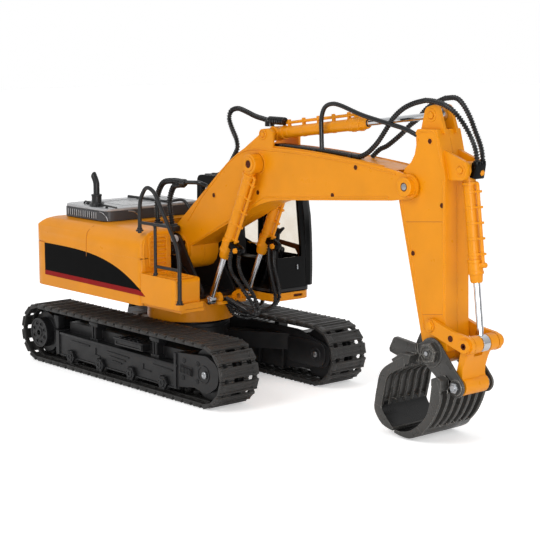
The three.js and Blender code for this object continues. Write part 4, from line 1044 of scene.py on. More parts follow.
def cab_trim():
    """Window rims, roof ribs and door handle."""
    door = [(29, 115), (85, 115), (80, 183), (29, 183)]
    door_hole = [(31.5, 117.5), (82.3, 117.5), (77.7, 180.6), (31.5, 180.6)]
    back = [(-15.5, 127), (23.5, 114.5), (23.5, 183), (-13.5, 183)]
    back_hole = [(-12.2, 129.6), (21, 118.4), (21, 180.6), (-10.8, 180.6)]
    shapes = []
    for y, out in ((CAB_NEAR, -0.9), (CAB_FAR, 0.9)):
        for outer, inner in ((door, door_hole), (back, back_hole)):
            shapes.append(frame_ring(outer, inner, "y", y, y + out))
    shapes.append(pad(-14, 92, 35, 72, 191.7, 192.6, 0.4))
    for y in (40, 48, 58, 66):
        shapes.append(pad(-8, 5, y - 1, y + 1, 192, 193.6, 0.4))
    inside, outside = CAB_NEAR - 0.2, CAB_NEAR - 2.2
    shapes.append(pipe([(6, inside, 134), (6, outside, 134), (6, outside, 148), (6, inside, 148)], 0.8, 1.2))
    piece("cab_trim", "upper", "gloss_black_plastic", shapes)


def cab_lower_trim():
    """Sill band, smoked brace, painted shade in the skirt's slot and a small bright steel pill painted as a
    highlight.
    """
    band = frame_ring(
        [(-22.3, 29.6), (89, 29.6), (97.8, 36), (98.3, 70), (88, 77.2), (-22.3, 77.2)],
        [(-20, 31.5), (88, 31.5), (95.6, 37), (96, 69), (87, 75.4), (-20, 75.4)], "z", 86.4, 89.2, 0.5)
    piece("cab_sill", "upper", "black_plastic", [band])
    brace = [(46, 130.4), (89, 126.8), (90.6, 110), (84, 110), (79, 119), (76, 122.6), (46, 126)]
    piece("cab_smoked_brace", "upper", "gloss_black_plastic", [plate(brace, 74.9, 76, 0.3)], SMOKED)
    # The slot in the skirt is a dark pad of painted shade.
    piece("cab_skirt_slot_shade", "upper", "yellow_shell", [pad(94.9, 96, 55.3, 65.7, 80.1, 82.5, 0.2)], HOLE_SHADE)
    # A small bright steel pill that paints the white highlight on the cab's front.
    highlight_pill = prism(capsule((58.5, 107.4), (58.2, 111), 0.7), "x", 97.6, 98.5)
    piece("cab_highlight_pill", "upper", "steel_hardware", [softened(highlight_pill, 0.2)])


def cab_levers():
    """Rubber boot and round grip of the main lever, a mast with horns, and two small grips."""
    y = LEVER_Y
    boot = lathe((66, y, 97.5), (65.2, y, 103), [
        (0, 7), (1.4, 6.2), (2.2, 6.6), (3.6, 5.2), (4.4, 5.5), (6, 3.2)], 20)
    grip = lathe((61, y, 130), (60, y, 140), [
        (0, 2.8), (2, 4.4), (5, 5.2), (7.4, 5.6), (8.6, 5.4), (9.2, 4.2), (9.2, 2)], 20)
    mast = pipe([(72.6, y, 98), (74.4, y, 120), (77, y, 141)], 1.3, 4)
    horns = plate([(75.6, 139.6), (78.4, 139.4), (80.2, 141.6), (84.4, 145), (83.4, 146.8), (78.4, 144.2),
                   (74.4, 145.4), (73.6, 143.6)], y - 1.4, y + 1.4, 0.4)
    small = [lathe((73, small_y, 119), (74.6, small_y, 126), [
        (0, 1.4), (1.5, 2.4), (4, 2.7), (6, 2.2), (7, 1)], 14) for small_y in (y - 7, y + 7)]
    piece("cab_lever_grips", "upper", "black_plastic", [boot, grip, mast, horns] + small)


def seat_pads():
    """The seat's cushion and the four ribs of its back."""
    pads = [pad(6, 36, 42, 64, 110.5, 112.8, 1.0, 3)]
    for i in range(4):
        pads.append(pad(9.6, 12, 43 + i * 5.4, 47.6 + i * 5.4, 115, 146, 0.9, 3))
    piece("cab_seat_pads", "upper", "black_plastic", pads)


cab_windows()
cab_trim()
cab_lower_trim()
cab_levers()
seat_pads()


# ---- boom and arm ------------------------------------------------------------------------------
BOOM_TIP_SIDE = 21.6
JAW_NUT_SIDE = 22.6


def rim(points, side_y, radius=0.75):
    """A raised bead along a plate's edge, half sunk into its face."""
    return sweep(smooth_path([(x, side_y, z) for x, z in points], 2.0), radius, 8)


def boom_trim():
    """Edge beads, collars and painted shade in the screw holes on the boom's sides, and the heads of its cross
    pins.
    """
    top = [(24, 153), (46, 178), (62.5, 192.6), (86, 213.6), (111, 226), (147, 227.9), (190, 227), (240, 224),
           (286, 219.6), (300, 217.4)]
    bottom = [(27, 130), (60, 146.5), (86, 159.6), (109, 171), (134, 184), (160, 186.8), (220, 191.8),
              (292, 197.6)]
    ridge = [(112, 229.4), (150, 230.9), (200, 229.4), (250, 226), (284, 222.8)]
    beads, holes, heads, tips = [], [], [], []
    for side in SIDES.values():
        face = side * (BOOM_SIDE - 0.1)
        tip = (BOOM_TIP[0], side * BOOM_TIP_SIDE, BOOM_TIP[1])
        rear = (ARM_CYL_REAR[0], side * BOOM_SIDE, ARM_CYL_REAR[1])
        beads += [rim(top, face), rim(bottom, face)]
        beads.append(sweep(smooth_path([(x, side * 14.6, z + 0.1) for x, z in ridge], 3.0), 0.8, 8))
        beads.append(ring((TUBE_TOP[0], side * BOOM_SIDE, TUBE_TOP[1]), "y", side, 10.4, 9.2, 0.7))
        beads.append(ring(tip, "y", side, 8, 3.6, 0.9))
        beads.append(frame_ring(arc(BOOM_FOOT, 15.6, 0, 354, 24), arc(BOOM_FOOT, 14.4, 0, 354, 24), "y",
                                face, face + side * 0.8, 0.2))
        for x, z in ((64, 181), (127, 188.6), (253, 220), (225, 194), (19, 131.5)):
            beads.append(ring((x, face, z), "y", side, 2.9, 2.1, 0.6))
            holes.append(hole_shade_dish((x, face, z), side, 2.2))
        heads += [ring(rear, "y", side, 4.8, 3.4, 0.9), hex_head(rear, side, 2.6, 1.4)]
        holes.append(hole_shade_dish(tip, side, 3.8))
        tips.append(turned(tip, "y", side, [(-0.6, 2.8), (0.7, 2.8), (1.0, 2.1)]))
    piece("boom_rims", "boom", "yellow_shell", beads + heads)
    # Dark dishes in the screw holes and the tip's pin hole are painted shade.
    piece("boom_screw_hole_shade", "boom", "yellow_shell", holes, HOLE_SHADE)
    piece("arm_pivot_caps", "arm", "steel_hardware", tips)


def arm_trim():
    """Edge beads, seams, painted shade in the screw holes and pin heads on the arm's sides, and raised bands down
    its front.
    """
    rear = [(332, 92), (318.8, 138.4), (310.2, 172), (304, 196), (303.2, 206)]
    front = [(349.2, 216), (350.6, 200), (351, 160), (352.6, 104)]
    head = [(321.6, 246), (321.4, 252.6), (331, 253.8), (340, 253.9), (344.6, 240), (348.4, 226)]
    strip = [(351.4, 106), (353.2, 106), (351.9, 160), (351.2, 200), (350.4, 214), (349, 214), (349.8, 160)]
    beads, seams, holes, heads = [], [], [], []
    for side in SIDES.values():
        face = side * (ARM_SIDE - 0.1)
        beads += [rim(rear, face), rim(front, face), rim(head, face)]
        seams += [rim([(309, 178.8), (330, 180.8), (350.4, 182.7)], face, 0.3),
                  rim([(329.6, 104), (341, 105.6), (352.6, 107.2)], face, 0.3)]
        for x, z in ((334.7, 246.6), (349, 195.7), (318, 153.6)):
            beads.append(ring((x, face, z), "y", side, 2.9, 2.1, 0.6))
            holes.append(hole_shade_dish((x, face, z), side, 2.2))
        for pin, half, outer in ((ARM_CYL_FRONT, 8.4, 5.4), (GRAB_CYL_TOP, 9.8, 5.0)):
            place = (pin[0], side * half, pin[1])
            heads += [ring(place, "y", side, outer, 3.3, 0.8), hex_head(place, side, 3.0, 1.6)]
        beads.append(plate(strip, side * 13.9, side * 9.6, 0.4))
    piece("arm_rims", "arm", "yellow_shell", beads + heads)
    piece("arm_seams", "arm", "yellow_shell", seams, SEAM)
    # Dark dishes in the screw holes are painted shade.
    piece("arm_screw_hole_shade", "arm", "yellow_shell", holes, HOLE_SHADE)


def jaw_nuts():
    """Collar, hexagonal washer, nut, threaded end and bright bolt on each end of the jaws' bolt."""
    nuts, bolts = [], []
    for side in SIDES.values():
        place = (JAW_PIN[0], side * JAW_NUT_SIDE, JAW_PIN[1])
        for profile, sides in (([(-3.4, 9.2), (0.2, 9.2), (0.7, 8.6)], 6),
                               ([(0.4, 8.1), (1.8, 8.1), (2.2, 7.6), (2.2, 6.7), (0.8, 6.2)], 6),
                               ([(0.5, 4.4), (1.9, 4.4), (2.4, 3.8), (2.4, 3.0), (1.4, 2.6)], 20)):
            nuts.append(turned(place, "y", side, profile, sides))
        nuts.append(ring((JAW_PIN[0], side * 18.9, JAW_PIN[1]), "y", side, 12.0, 10.8, 0.5))
        bolts.append(hex_head((JAW_PIN[0], side * (JAW_NUT_SIDE + 1), JAW_PIN[1]), side, 2.3, 1.8))
    piece("jaw_nut_caps", "arm", "grab_metal", nuts)
    piece("jaw_nut_bolts", "arm", "steel_hardware", bolts)


def cross_pin(name, body, centre, half, radius, sides=20, material=None):
    """A plain pin across the machine, as far to each side as half says."""
    pin = turned((centre[0], -half, centre[1]), "y", 1, [(0, radius), (half * 2, radius)], sides)
    piece(name, body, "steel_hardware", [pin], material)


boom_trim()
arm_trim()
jaw_nuts()
cross_pin("arm_cylinder_pin", "arm", ARM_CYL_FRONT, 8, 2.2, 16, SCREW)


# ---- cylinders -----------------------------------------------------------------------------------
def along(a, b, distance, sideways=0.0):
    """A point in (x, z) at a distance from a towards b, and an offset to the left of that line."""
    span = math.hypot(b[0] - a[0], b[1] - a[1])
    ux, uz = (b[0] - a[0]) / span, (b[1] - a[1]) / span
    return (a[0] + ux * distance - uz * sideways, a[1] + uz * distance + ux * sideways)


def slab(start, end, half_y, half_v):
    """A square bar from start to end in a plane of constant y."""
    ahead = (end - start).normalized()
    up = Vector((-ahead.z, 0, ahead.x))
    corners = []
    for point in (start, end):
        for sy, sv in ((-1, -1), (1, -1), (1, 1), (-1, 1)):
            corners.append(point + Vector((0, sy * half_y, 0)) + up * (sv * half_v))
    return corners, ring_faces(2, 4)


def cylinder_tube(name, body, node, a, b, y, mouth, eye, port=0):
    """A turned tube with its eye, collar, nose and oil pipe on rungs; port is the reach of its hose block."""
    half = TUBE_HALF

    def at(distance, sideways=0.0, shift=0.0):
        u, v = along(a, b, distance, sideways)
        return Vector((u, y + shift, v))

    shapes = [lathe(at(2), at(3), [
        (0, half), (7.8, half), (8.0, half + 1.1), (10.4, half + 1.1), (10.6, half), (mouth - 21, half),
        (mouth - 20.7, half + 1.2), (mouth - 18.4, half + 1.2), (mouth - 18, half + 0.8),
        (mouth - 11.4, half + 0.8), (mouth - 11.1, half + 1.2), (mouth - 9, half + 1.2),
        (mouth - 8.6, half + 0.3), (mouth - 3.4, half - 0.2), (mouth - 2, half - 0.9), (mouth - 2, 3.5),
        (mouth - 8, 3.4)], 32)]
    shapes.append(lathe(at(0, 0, -half), at(0, 0, half), [
        (0, eye - 0.5), (0.5, eye), (half * 2 - 0.5, eye), (half * 2, eye - 0.5)], 36))
    line = half + 3.2
    oil_pipe = [at(11, half - 0.5), at(11, line), at(mouth - 13, line), at(mouth - 13, half)]
    shapes.append(pipe(oil_pipe, 1.4, 2, 14))
    first, last = 17, mouth - 24
    for i in range(RUNGS):
        distance = first + (last - first) * i / (RUNGS - 1)
        rung = slab(at(distance, half + 2.6), at(distance + 2, half + 2.6), 1.7, 3.4)
        band = [(0, half - 0.1), (0.3, half + 0.35), (2.3, half + 0.35), (2.6, half - 0.1)]
        shapes += [softened(rung, 0.4), lathe(at(distance - 0.3), at(distance), band, 32)]
    if port:
        hose_block(name, body, at, mouth - 17, half, port)
    else:
        stub = [(0, 2.2), (5.6, 2.2), (6.2, 1.7)]
        shapes.append(lathe(at(mouth - 14, half), at(mouth - 14, half + 8), stub, 20))
    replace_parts(piece(f"{name}_turned", body, "yellow_shell", shapes), node)
    piece(f"{name}_seal", body, "black_plastic", [
        lathe(at(mouth - 1.4), at(mouth), [(0, 3.9), (1.0, 3.9), (1.3, 3.6), (1.3, 3.0)], 24)])


def hose_block(name, body, at, distance, half, reach):
    """Black block with a hose socket and a yellow bolt, standing off a tube."""
    block_shape = softened(slab(at(distance, half - 0.5), at(distance, half + reach), 4.2, 3.2), 1.1, 3)
    socket = lathe(at(distance, half + reach - 4), at(distance, half + reach), [
        (0, 4.4), (1.2, 4.8), (2.4, 4.4), (4.6, 4.0), (5.4, 3)], 20)
    piece(f"{name}_port", body, "gloss_black_plastic", [block_shape, socket])
    head = hex_head(at(distance, half + reach - 3, -4), -1, 2.7, 2.3)
    piece(f"{name}_port_bolt", body, "yellow_shell", [head])


def boom_rod(name, side):
    """Polished rod with a small eye, a hexagonal bolt head and the stub that turns in the deck's lug."""
    y = side * BOOM_CYL_Y
    foot = Vector((ROD_BASE[0], y, ROD_BASE[1]))
    inner_end = along(ROD_BASE, TUBE_TOP, 78)
    shapes = [lathe(foot, (inner_end[0], y, inner_end[1]), [(0, 2.8), (77.6, 2.8), (78, 2.5)], 28),
              turned(foot, "y", side, [(-3.2, 4.0), (-3.0, 4.4), (3.0, 4.4), (3.2, 4.0)], 28),
              turned(foot, "y", -side, [(2, 2.4), (11.6, 2.4)]),
              turned(foot, "y", side, [(3.0, 3.7), (3.7, 3.7), (3.9, 3.4)], 24),
              turned(foot, "y", side, [(3.6, 2.7), (5.0, 2.7), (5.5, 2.1)], 6)]
    made = piece(f"boom_rod_polished_{name}", f"boom_rod_{name}", "chrome_rod", shapes)
    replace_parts(made, f"boom_cylinder_rod_{name}")


def boom_tube_caps(name, side):
    """Yellow collar round the deep hole at the top of a boom cylinder, with painted shade inside the hole."""
    place = (TUBE_TOP[0], side * (BOOM_CYL_Y + TUBE_HALF), TUBE_TOP[1])
    body = f"boom_tube_{name}"
    piece(f"boom_tube_collar_{name}", body, "yellow_shell", [ring(place, "y", side, 6.6, 3.6, 0.9)])
    # A dark dish of painted shade inside the hole.
    piece(f"boom_tube_hole_shade_{name}", body, "yellow_shell", [hole_shade_dish(place, side, 3.4)], HOLE_SHADE)


def link_trim():
    """Collars, pin heads and painted shade in the holes on the two levers."""
    collars, holes = [], []
    for side in SIDES.values():
        link = (LINK_PIN[0], side * 21.3, LINK_PIN[1])
        middle = (364.5, side * 18.3, 89.6)
        collars += [ring(link, "y", side, 5.5, 2.7, 0.7),
                    ring((LEVER_PIN[0], side * 18.2, LEVER_PIN[1]), "y", side, 5.9, 5.1, 0.6),
                    hex_head((LEVER_PIN[0], side * 19.4, LEVER_PIN[1]), side, 3.9, 1.4),
                    ring(middle, "y", side, 4.0, 2.7, 0.4)]
        holes += [hole_shade_dish(link, side, 2.6), hole_shade_dish(middle, side, 2.7)]
    piece("lever_collars", "levers", "yellow_shell", collars)
    # Dark dishes in the holes are painted shade.
    piece("lever_hole_shade", "levers", "yellow_shell", holes, HOLE_SHADE)


for name, sign in SIDES.items():
    tube = f"boom_tube_{name}"
    cylinder_tube(tube, tube, f"boom_cylinder_tube_{name}", TUBE_TOP, ROD_BASE, sign * BOOM_CYL_Y, 99, 9, 14)
    boom_rod(name, sign)
    boom_tube_caps(name, sign)
cylinder_tube("arm_tube", "arm_tube", "arm_cylinder_tube", ARM_CYL_REAR, ARM_CYL_FRONT, 0, 118, 6.6)
cylinder_tube("grab_tube", "grab_tube", "grab_cylinder_tube", GRAB_CYL_TOP, LINK_PIN, 0, 91, 6.6)
cross_pin("cylinder_cross_pin_arm", "arm_tube", ARM_CYL_REAR, 16, 2.3)
cross_pin("cylinder_cross_pin_grab", "grab_tube", GRAB_CYL_TOP, 9.6, 2.3)
link_trim()


# ---- jaws ----------------------------------------------------------------------------------------
RIB_COUNT = 7
BEAM_HALF = 28.2
RIB_WIDTH = 3.2
JAW_HALF = 28.4
CRANK_PIN = (371.2, 50.4)
LINK_ROOM = 11.5
GRAB_MIDDLE = (322, 33)
LINING_INNER = 0.992
LINING_OUTER = 1.02


def curve(points, spacing=1.6):
    """A smooth curve in x and z through the given points."""
    return [(p.x, p.z) for p in smooth_path([(x, 0, z) for x, z in points], spacing)]


def two_edges(start, outer, tip, inner):
    """A closed outline in x and z: a smooth outer edge, a straight tip and a smooth inner edge."""
    return curve([start] + outer) + curve([tip] + inner)


def kept_clear(outline, centre, radius):
    """The outline with every point that lies inside a circle moved out to it."""
    points = []
    for point in outline:
        away = Vector((point[0] - centre[0], point[1] - centre[1]))
        if away.length < radius:
            away = away.normalized() * radius
        points.append((centre[0] + away.x, centre[1] + away.y))
    return points


def jaw_ribs(outline, room=None):
    """Evenly spaced ribs; those inside the push link's width keep clear of it."""
    ribs = []
    for i in range(RIB_COUNT):
        y = -JAW_HALF + RIB_WIDTH / 2 + i * (JAW_HALF * 2 - RIB_WIDTH) / (RIB_COUNT - 1)
        shape = outline
        if room and abs(y) < ARM_SIDE + 2:
            shape = kept_clear(outline, room, LINK_ROOM)
        ribs.append(plate(shape, y - RIB_WIDTH / 2, y + RIB_WIDTH / 2, 0.7))
    return ribs


def blade_lining(name, body, edge):
    """A thin dark sheet over the inner side of a jaw's blade, which faces the middle of the grab."""
    middle = Vector(GRAB_MIDDLE)
    spokes = [Vector(point) - middle for point in curve(edge)]
    sheet = [tuple(middle + spoke * LINING_INNER) for spoke in spokes]
    sheet += [tuple(middle + spoke * LINING_OUTER) for spoke in spokes[::-1]]
    piece(name, body, "grab_metal", [prism(sheet, "y", -BEAM_HALF + 0.7, BEAM_HALF - 0.7)], LINING)


def rear_jaw():
    """Ribs, scooped blade and head beam, with a strap round the jaw bolt and an ear on each side."""
    ribs = jaw_ribs(two_edges((321.7, 70), [(297.8, 55), (291.4, 38), (288.9, 24)], (297.1, 22.5),
                              [(300.2, 35.5), (305, 50.4), (323.7, 61)]))
    blade = plate(two_edges((289.2, 27), [(288.6, 22), (290.3, 16), (298.2, 7.8), (310, 4.2)], (310.8, 6.4),
                            [(302.6, 14.5), (297.4, 21), (296.6, 27)]), -BEAM_HALF, BEAM_HALF)
    head = [(310.7, 62), (327, 63.5), (329.5, 71.5), (318.7, 72), (307.7, 65)]
    parts = ribs + [blade, plate(head, -BEAM_HALF, BEAM_HALF, 0.8)]
    ear = arc((300, 71), 4, 225, 150, 4) + arc((303.5, 78), 4, 150, 80, 4)
    ear += [(326, 79.5), (328.5, 65), (318, 63)]
    for side in SIDES.values():
        inner = side * (ARM_SIDE + 0.4)
        parts.append(plate(strap(JAW_PIN, 10.6, (320, 70), 6), inner, side * 16.4))
        parts.append(plate(ear, inner, side * 18.4, 0.8))
    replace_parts(piece("rear_jaw_ribbed", "rear_jaw_body", "grab_metal", parts), "rear_jaw")
    blade_lining("rear_jaw_lining", "rear_jaw_body",
                 [(309.6, 7.4), (302.6, 14.5), (297.4, 21), (296.6, 26.6)])


def front_jaw():
    """Ribs, scooped blade and cross beam, with a crank, its boss and a gusset on each side."""
    ribs = jaw_ribs(two_edges((358.7, 57), [(363.5, 42), (356, 22.5), (344, 8.5)], (337.7, 13),
                              [(349.2, 27), (353.7, 52)]), CRANK_PIN)
    blade = plate(two_edges((347.7, 12.5), [(342.6, 7), (330, 1.6), (318.7, 1.8), (311.9, 3.4)], (312.5, 5.6),
                            [(320.7, 5.6), (331, 8.8), (342.3, 17)]), -BEAM_HALF, BEAM_HALF)
    beam = [(352.7, 50), (363.7, 47), (363.7, 51.5), (363.7, 56), (358.7, 58.5), (352.7, 56)]
    gusset = [(354.7, 50), (366, 44), (369, 53), (360.7, 60)]
    room = ARM_SIDE + 0.6
    parts = ribs + [blade, plate(kept_clear(beam, CRANK_PIN, LINK_ROOM), -room, room, 0.4)]
    for side in SIDES.values():
        out = side * 18.8
        parts.append(plate(beam, side * room, side * BEAM_HALF, 0.8))
        parts.append(plate(strap(JAW_PIN, 12.4, CRANK_PIN, 8.5, 20), side * 16.8, out, 0.6))
        parts.append(turned((CRANK_PIN[0], side * room, CRANK_PIN[1]), "y", side, [(0, 5.4), (2.4, 5.4)], 24))
        parts.append(plate(gusset, side * room, out, 0.4))
        parts.append(ring((CRANK_PIN[0], out, CRANK_PIN[1]), "y", side, 6.4, 5.4, 0.5))
    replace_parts(piece("front_jaw_ribbed", "front_jaw_body", "grab_metal", parts), "front_jaw")
    blade_lining("front_jaw_lining", "front_jaw_body",
                 [(313.6, 5.6), (320.7, 5.6), (331, 8.8), (341.6, 16.3)])


rear_jaw()
front_jaw()


# ---- hoses ---------------------------------------------------------------------------------------
def house_lines():
    """Two ribbed hoses from the house that turn forward beside the boom, with a smooth end."""
    y = -21.5
    rear = [(-16, y, 143), (-18.5, y, 160), (-17, y, 175), (-8, y, 187.5), (8, y, 190.6), (22, y, 190.6)]
    front = [(7, y, 143), (2.5, y, 160), (2, y, 172), (8, y, 184.5), (16, y, 187.2), (24, y, 188)]
    ribbed = bending_piece("house_lines", "hose_rubber",
                           [ribbed_hose(rear, 3.0, 12), ribbed_hose(front, 3.0, 12)])
    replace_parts(ribbed, "house_hoses")
    union = [turned((20, y, 190), "x", 1, [(0, 2.6), (0.8, 3.7), (6, 3.7), (7, 2.4)], 18),
             hose([(25, y, 190.4), (36, y, 191.2), (47, y, 191.6), (54, -17.5, 189)], 2.0, 12)]
    piece("house_line_ends", "boom", "hose_rubber", union)
    clamp = [pad(-24, 14, -27.2, -18.3, 142, 147.4, 0.8)]
    clamp += [ring((x, y, 147.2), "z", 1, 4.4, 2.8, 1.6) for x in (-16.3, 6.6)]
    piece("house_line_clamp", "upper", "black_plastic", clamp)


def arm_lines():
    """The long hoses over the boom and the arm to the grab cylinder's ports."""
    loop = [(203, -9, 227), (202.6, -9.4, 244), (203, -9.9, 259), (207.5, -10.3, 268.5), (217, -10.8, 272),
            (229, -11.2, 270.8), (255, -11.7, 264), (286, -12.1, 258.4), (305, -12.4, 255), (320, -12.2, 250)]
    bending_piece("loop_hose", "hose_rubber",
                  [hose(loop, 2.0, 12)])
    near = [(247, -9, 227.5), (258, -9.4, 231.6), (266, -9.8, 237), (273, -10.3, 243), (282, -10.9, 253),
            (291, -11.6, 263), (302, -12, 271), (314, -12, 276), (327, -12, 279), (338, -12, 278.4),
            (350, -12, 275.4), (359, -11.2, 270), (367, -9.6, 261), (372.6, -7.4, 251), (375, -4.6, 241),
            (374.6, -2.2, 232), (373.4, -1.6, 224)]
    far = [(247, 9, 227.5), (255, 9.6, 234), (264, 10.3, 238), (280, 10.9, 249), (288, 11.6, 256),
           (297, 12, 262), (307, 12, 271), (319, 12, 277), (327, 12, 280), (338, 12, 280.6),
           (346, 11.4, 276.4), (355, 10.6, 266), (362, 9.4, 255), (369, 8, 244), (373.4, 5.8, 234),
           (373.4, 4.6, 224)]
    crown = 8
    for name, points in (("near", near), ("far", far)):
        rear, front = split_hose(points, crown)
        bending_piece(f"arm_hose_{name}_rear", "hose_rubber",
                      [ribbed_hose(rear, 2.3)])
        bending_piece(f"arm_hose_{name}_front", "hose_rubber",
                      [ribbed_hose(front, 2.3)])
    plugs = [softened(slab(Vector((371.4, 1.6, 218.4)), Vector((373.6, 1.6, 231)), 5.6, 3.2), 1.0, 3)]
    plugs += [ring((374, y, 230), "z", 1, 3.1, 2.2, 2.4) for y in (-1.6, 4.6)]
    piece("grab_hose_plug", "grab_tube", "gloss_black_plastic", plugs)
    piece("grab_hose_bolt", "grab_tube", "yellow_shell", [
        lathe((374, 3.4, 223), (381, 3.2, 222), [(0, 2.5), (1.8, 2.5), (2.4, 1.9)], 6)])


def boom_lines():
    """Twin pipes along the boom's top, and the ribbed hose from its back to the arm cylinder."""
    tops = [(138, 231.6), (150, 232.4), (180, 231.6), (212, 230.6), (236, 229.2), (250, 228.2)]
    pipes = [hose([(x, y, z) for x, z in tops], 1.7, 12) for y in (-10, -5)]
    clips = [pad(x - 1.6, x + 1.6, -12.6, -2.6, 226.5, 233.4 - (x - 150) * 0.034, 0.5)
             for x in (152, 196, 240)]
    piece("boom_pipes", "boom", "hose_rubber", pipes)
    piece("boom_pipe_clips", "boom", "black_plastic", clips)
    back = [(62, -6, 193), (72, -6, 207), (80, -5.8, 218), (84.4, -5.4, 226), (82.6, -5, 234),
            (77.6, -4.6, 241), (73, -4.2, 248), (71, -3.8, 254), (74, -3.5, 260), (83, -3, 262.4),
            (94, -2.6, 260), (106, -2.2, 256.4), (117, -2, 254.4), (126, -2, 253)]
    bending_piece("boom_back_hose", "hose_rubber",
                  [ribbed_hose(back, 2.5)])
    dome = turned((126, -2, 248), "z", 1, [(0, 4.4), (4, 4.4), (6.2, 3.8), (7.6, 2.4), (8, 0.8)])
    ribs = [lathe((126 + i * 3.1, -2, 253.6), (150, -2, 252.4), [
        (0, 2.6), (0.3, 3.7), (2.0, 3.7), (2.3, 2.6), (3.2, 2.6)], 16) for i in range(7)]
    piece("arm_cylinder_inlet", "arm_tube", "hose_rubber", [dome] + ribs)
    piece("boom_back_socket", "boom", "black_plastic", [
        lathe((60, -6, 191), (66, -6, 199.4), [(0, 4), (6, 4), (7, 3.2), (9, 3.2)], 18)])


def boom_cylinder_lines():
    """Two hoses from each boom cylinder's port down to the drum, cut in two at the rod's pivot line."""
    routes = {
        "right": (
            [(101.5, -25.5, 135), (98.6, -26.2, 128), (97.6, -26, 118), (101.5, -25.3, 110),
             (108, -24.5, 104), (114, -23.7, 97.4), (121, -22.8, 90.5), (126, -20, 82), (120, -15, 75),
             (100, -9, 76), (70, -8, 83)],
            [(106.5, -22, 134), (105, -21.5, 128), (104, -21.2, 119.6), (107, -20.6, 111),
             (112, -19.9, 104.4), (119, -19, 98), (125.4, -18, 88), (124, -14, 78), (110, -8, 73),
             (90, -4, 75), (70, -3, 81)]),
        "left": (
            [(101.5, 20, 135), (100.2, 19.6, 128), (101.2, 19.2, 115.4), (104, 18.7, 106), (108, 18.2, 96.6),
             (112, 17.7, 88), (110.6, 17.2, 79), (102, 15, 73), (92, 12, 71.6), (80, 8, 74), (70, 3, 79)],
            [(106.5, 24, 134), (102.4, 24, 128), (102.8, 23.8, 114.8), (106, 23.4, 105.4), (110, 22.8, 96),
             (112.4, 22, 86), (108, 21, 78), (98, 18.6, 72.4), (86, 15, 70), (76, 11, 73), (68, 7, 78)]),
    }
    for side_name, strands in routes.items():
        rod = f"boom_rod_{side_name}"
        tube = f"boom_tube_{side_name}"
        for number, points in enumerate(strands, 1):
            upper, lower = split_hose(points, 5)
            for end, first, second, run in (("top", tube, rod, upper), ("foot", rod, "upper", lower)):
                bending_piece(f"boom_hose_{side_name}_{number}_{end}",
                              "hose_rubber", [ribbed_hose(run, 2.1)])


def deck_bundle():
    """Ribbed hoses that hang in front of the drum and run back under the far side."""
    strands = []
    for i in range(4):
        drop = i * 3.4
        strands.append(ribbed_hose([
            (58, -13 + i * 2.4, 84), (66, -10 + i * 2, 83 - drop * 0.6), (76, -4, 78 - drop),
            (82 - i, 8, 73 - drop), (76 - i, 24, 70 - drop * 0.8), (66, 40, 70 - drop * 0.5),
            (50, 56, 73 - drop * 0.2)], 2.0))
    piece("deck_hoses", "upper", "hose_rubber", strands)


house_lines()
arm_lines()
boom_lines()
boom_cylinder_lines()
deck_bundle()


# ---- stage, light and camera -----------------------------------------------------------------------
VIEW_TURN = math.radians(48.58)


def pale_floor():
    """Plain white floor, lifted towards the backdrop's white where the camera sees it."""
    nodes = Nodes("pale_floor")
    shade = nodes.blend(nodes.noise(3.0, 2.0), linear(252, 252, 252), linear(255, 255, 255))
    nodes.link(shade, nodes.shader.inputs["Base Color"])
    nodes.link(shade, nodes.shader.inputs["Emission Color"])
    seen = nodes.add("ShaderNodeLightPath")
    glow = nodes.spread(seen.outputs["Is Camera Ray"], 0.0, 0.4, 0, 1)
    nodes.link(glow, nodes.shader.inputs["Emission Strength"])
    nodes.shader.inputs["Roughness"].default_value = 0.9
    nodes.shader.inputs["Specular IOR Level"].default_value = 0.1
    data = bpy.data.meshes.new("floor")
    reach = 6.0
    data.from_pydata([(-reach, -reach, 0), (reach, -reach, 0), (reach, reach, 0), (-reach, reach, 0)], [],
                     [(0, 1, 2, 3)])
    data.materials.append(nodes.material)
    floor = bpy.data.objects.new("floor", data)
    floor.location.z = -0.0002
    bpy.context.scene.collection.objects.link(floor)


def area_light(name, place, target, size, power):
    """A round soft light at a place, turned to a target."""
    data = bpy.data.lights.new(name, "AREA")
    data.shape = "DISK"
    data.size = size
    data.energy = power
    lamp = bpy.data.objects.new(name, data)
    lamp.location = place
    lamp.rotation_mode = "QUATERNION"
    lamp.rotation_quaternion = (Vector(target) - Vector(place)).to_track_quat("-Z", "Y")
    bpy.context.scene.collection.objects.link(lamp)


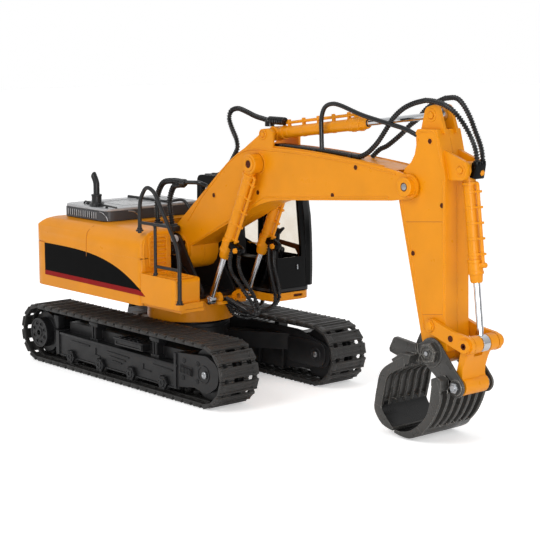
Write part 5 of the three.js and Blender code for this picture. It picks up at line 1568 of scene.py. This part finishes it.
def backdrop():
    """White to the camera; as light it is brightest behind the machine and dimmer on the camera's side."""
    world = bpy.data.worlds.new("studio")
    world.use_nodes = True
    tree = world.node_tree
    shine = tree.nodes["Background"]
    shine.inputs["Color"].default_value = (1, 1, 1, 1)
    place = tree.nodes.new("ShaderNodeTexCoord")
    facing = tree.nodes.new("ShaderNodeVectorMath")
    facing.operation = "DOT_PRODUCT"
    facing.inputs[1].default_value = (-math.sin(VIEW_TURN), math.cos(VIEW_TURN), 0.15)
    tree.links.new(place.outputs["Generated"], facing.inputs[0])
    grade = tree.nodes.new("ShaderNodeMapRange")
    for key, value in (("From Min", -0.2), ("From Max", 0.9), ("To Min", 0.42), ("To Max", 0.95)):
        grade.inputs[key].default_value = value
    tree.links.new(facing.outputs["Value"], grade.inputs["Value"])
    seen = tree.nodes.new("ShaderNodeLightPath")
    mix = tree.nodes.new("ShaderNodeMix")
    tree.links.new(seen.outputs["Is Camera Ray"], mix.inputs["Factor"])
    tree.links.new(grade.outputs["Result"], mix.inputs["A"])
    mix.inputs["B"].default_value = 1.0
    tree.links.new(mix.outputs["Result"], shine.inputs["Strength"])
    bpy.context.scene.world = world


def studio():
    """Backdrop, a broad soft light from the upper left of the view and two weaker fills."""
    backdrop()
    middle = (0, 0, 0.12)
    area_light("key", (-0.15, -1.5, 1.5), middle, 1.0, 14)
    area_light("fill", (1.7, 0.1, 0.9), middle, 1.2, 8.4)
    area_light("low_fill", (1.25, -1.0, 0.22), (0.05, 0, 0.05), 0.5, 6)
    bpy.context.scene.view_settings.view_transform = "Standard"


def camera():
    """The viewing angle of the reference: from the front right, a little above the ground."""
    azimuth, elevation = VIEW_TURN, math.radians(9.005)
    distance = 1435.5
    target = in_frame((124.2, 0, 115.2))
    back = Vector((math.sin(azimuth) * math.cos(elevation), -math.cos(azimuth) * math.cos(elevation),
                   math.sin(elevation)))
    data = bpy.data.cameras.new("camera")
    data.sensor_width = 36
    data.lens = 103.55
    data.clip_start = 0.05
    made = bpy.data.objects.new("camera", data)
    made.location = target + back * distance * MM
    made.rotation_mode = "QUATERNION"
    made.rotation_quaternion = (-back).to_track_quat("-Z", "Y")
    bpy.context.scene.collection.objects.link(made)
    bpy.context.scene.camera = made


pale_floor()
studio()
camera()
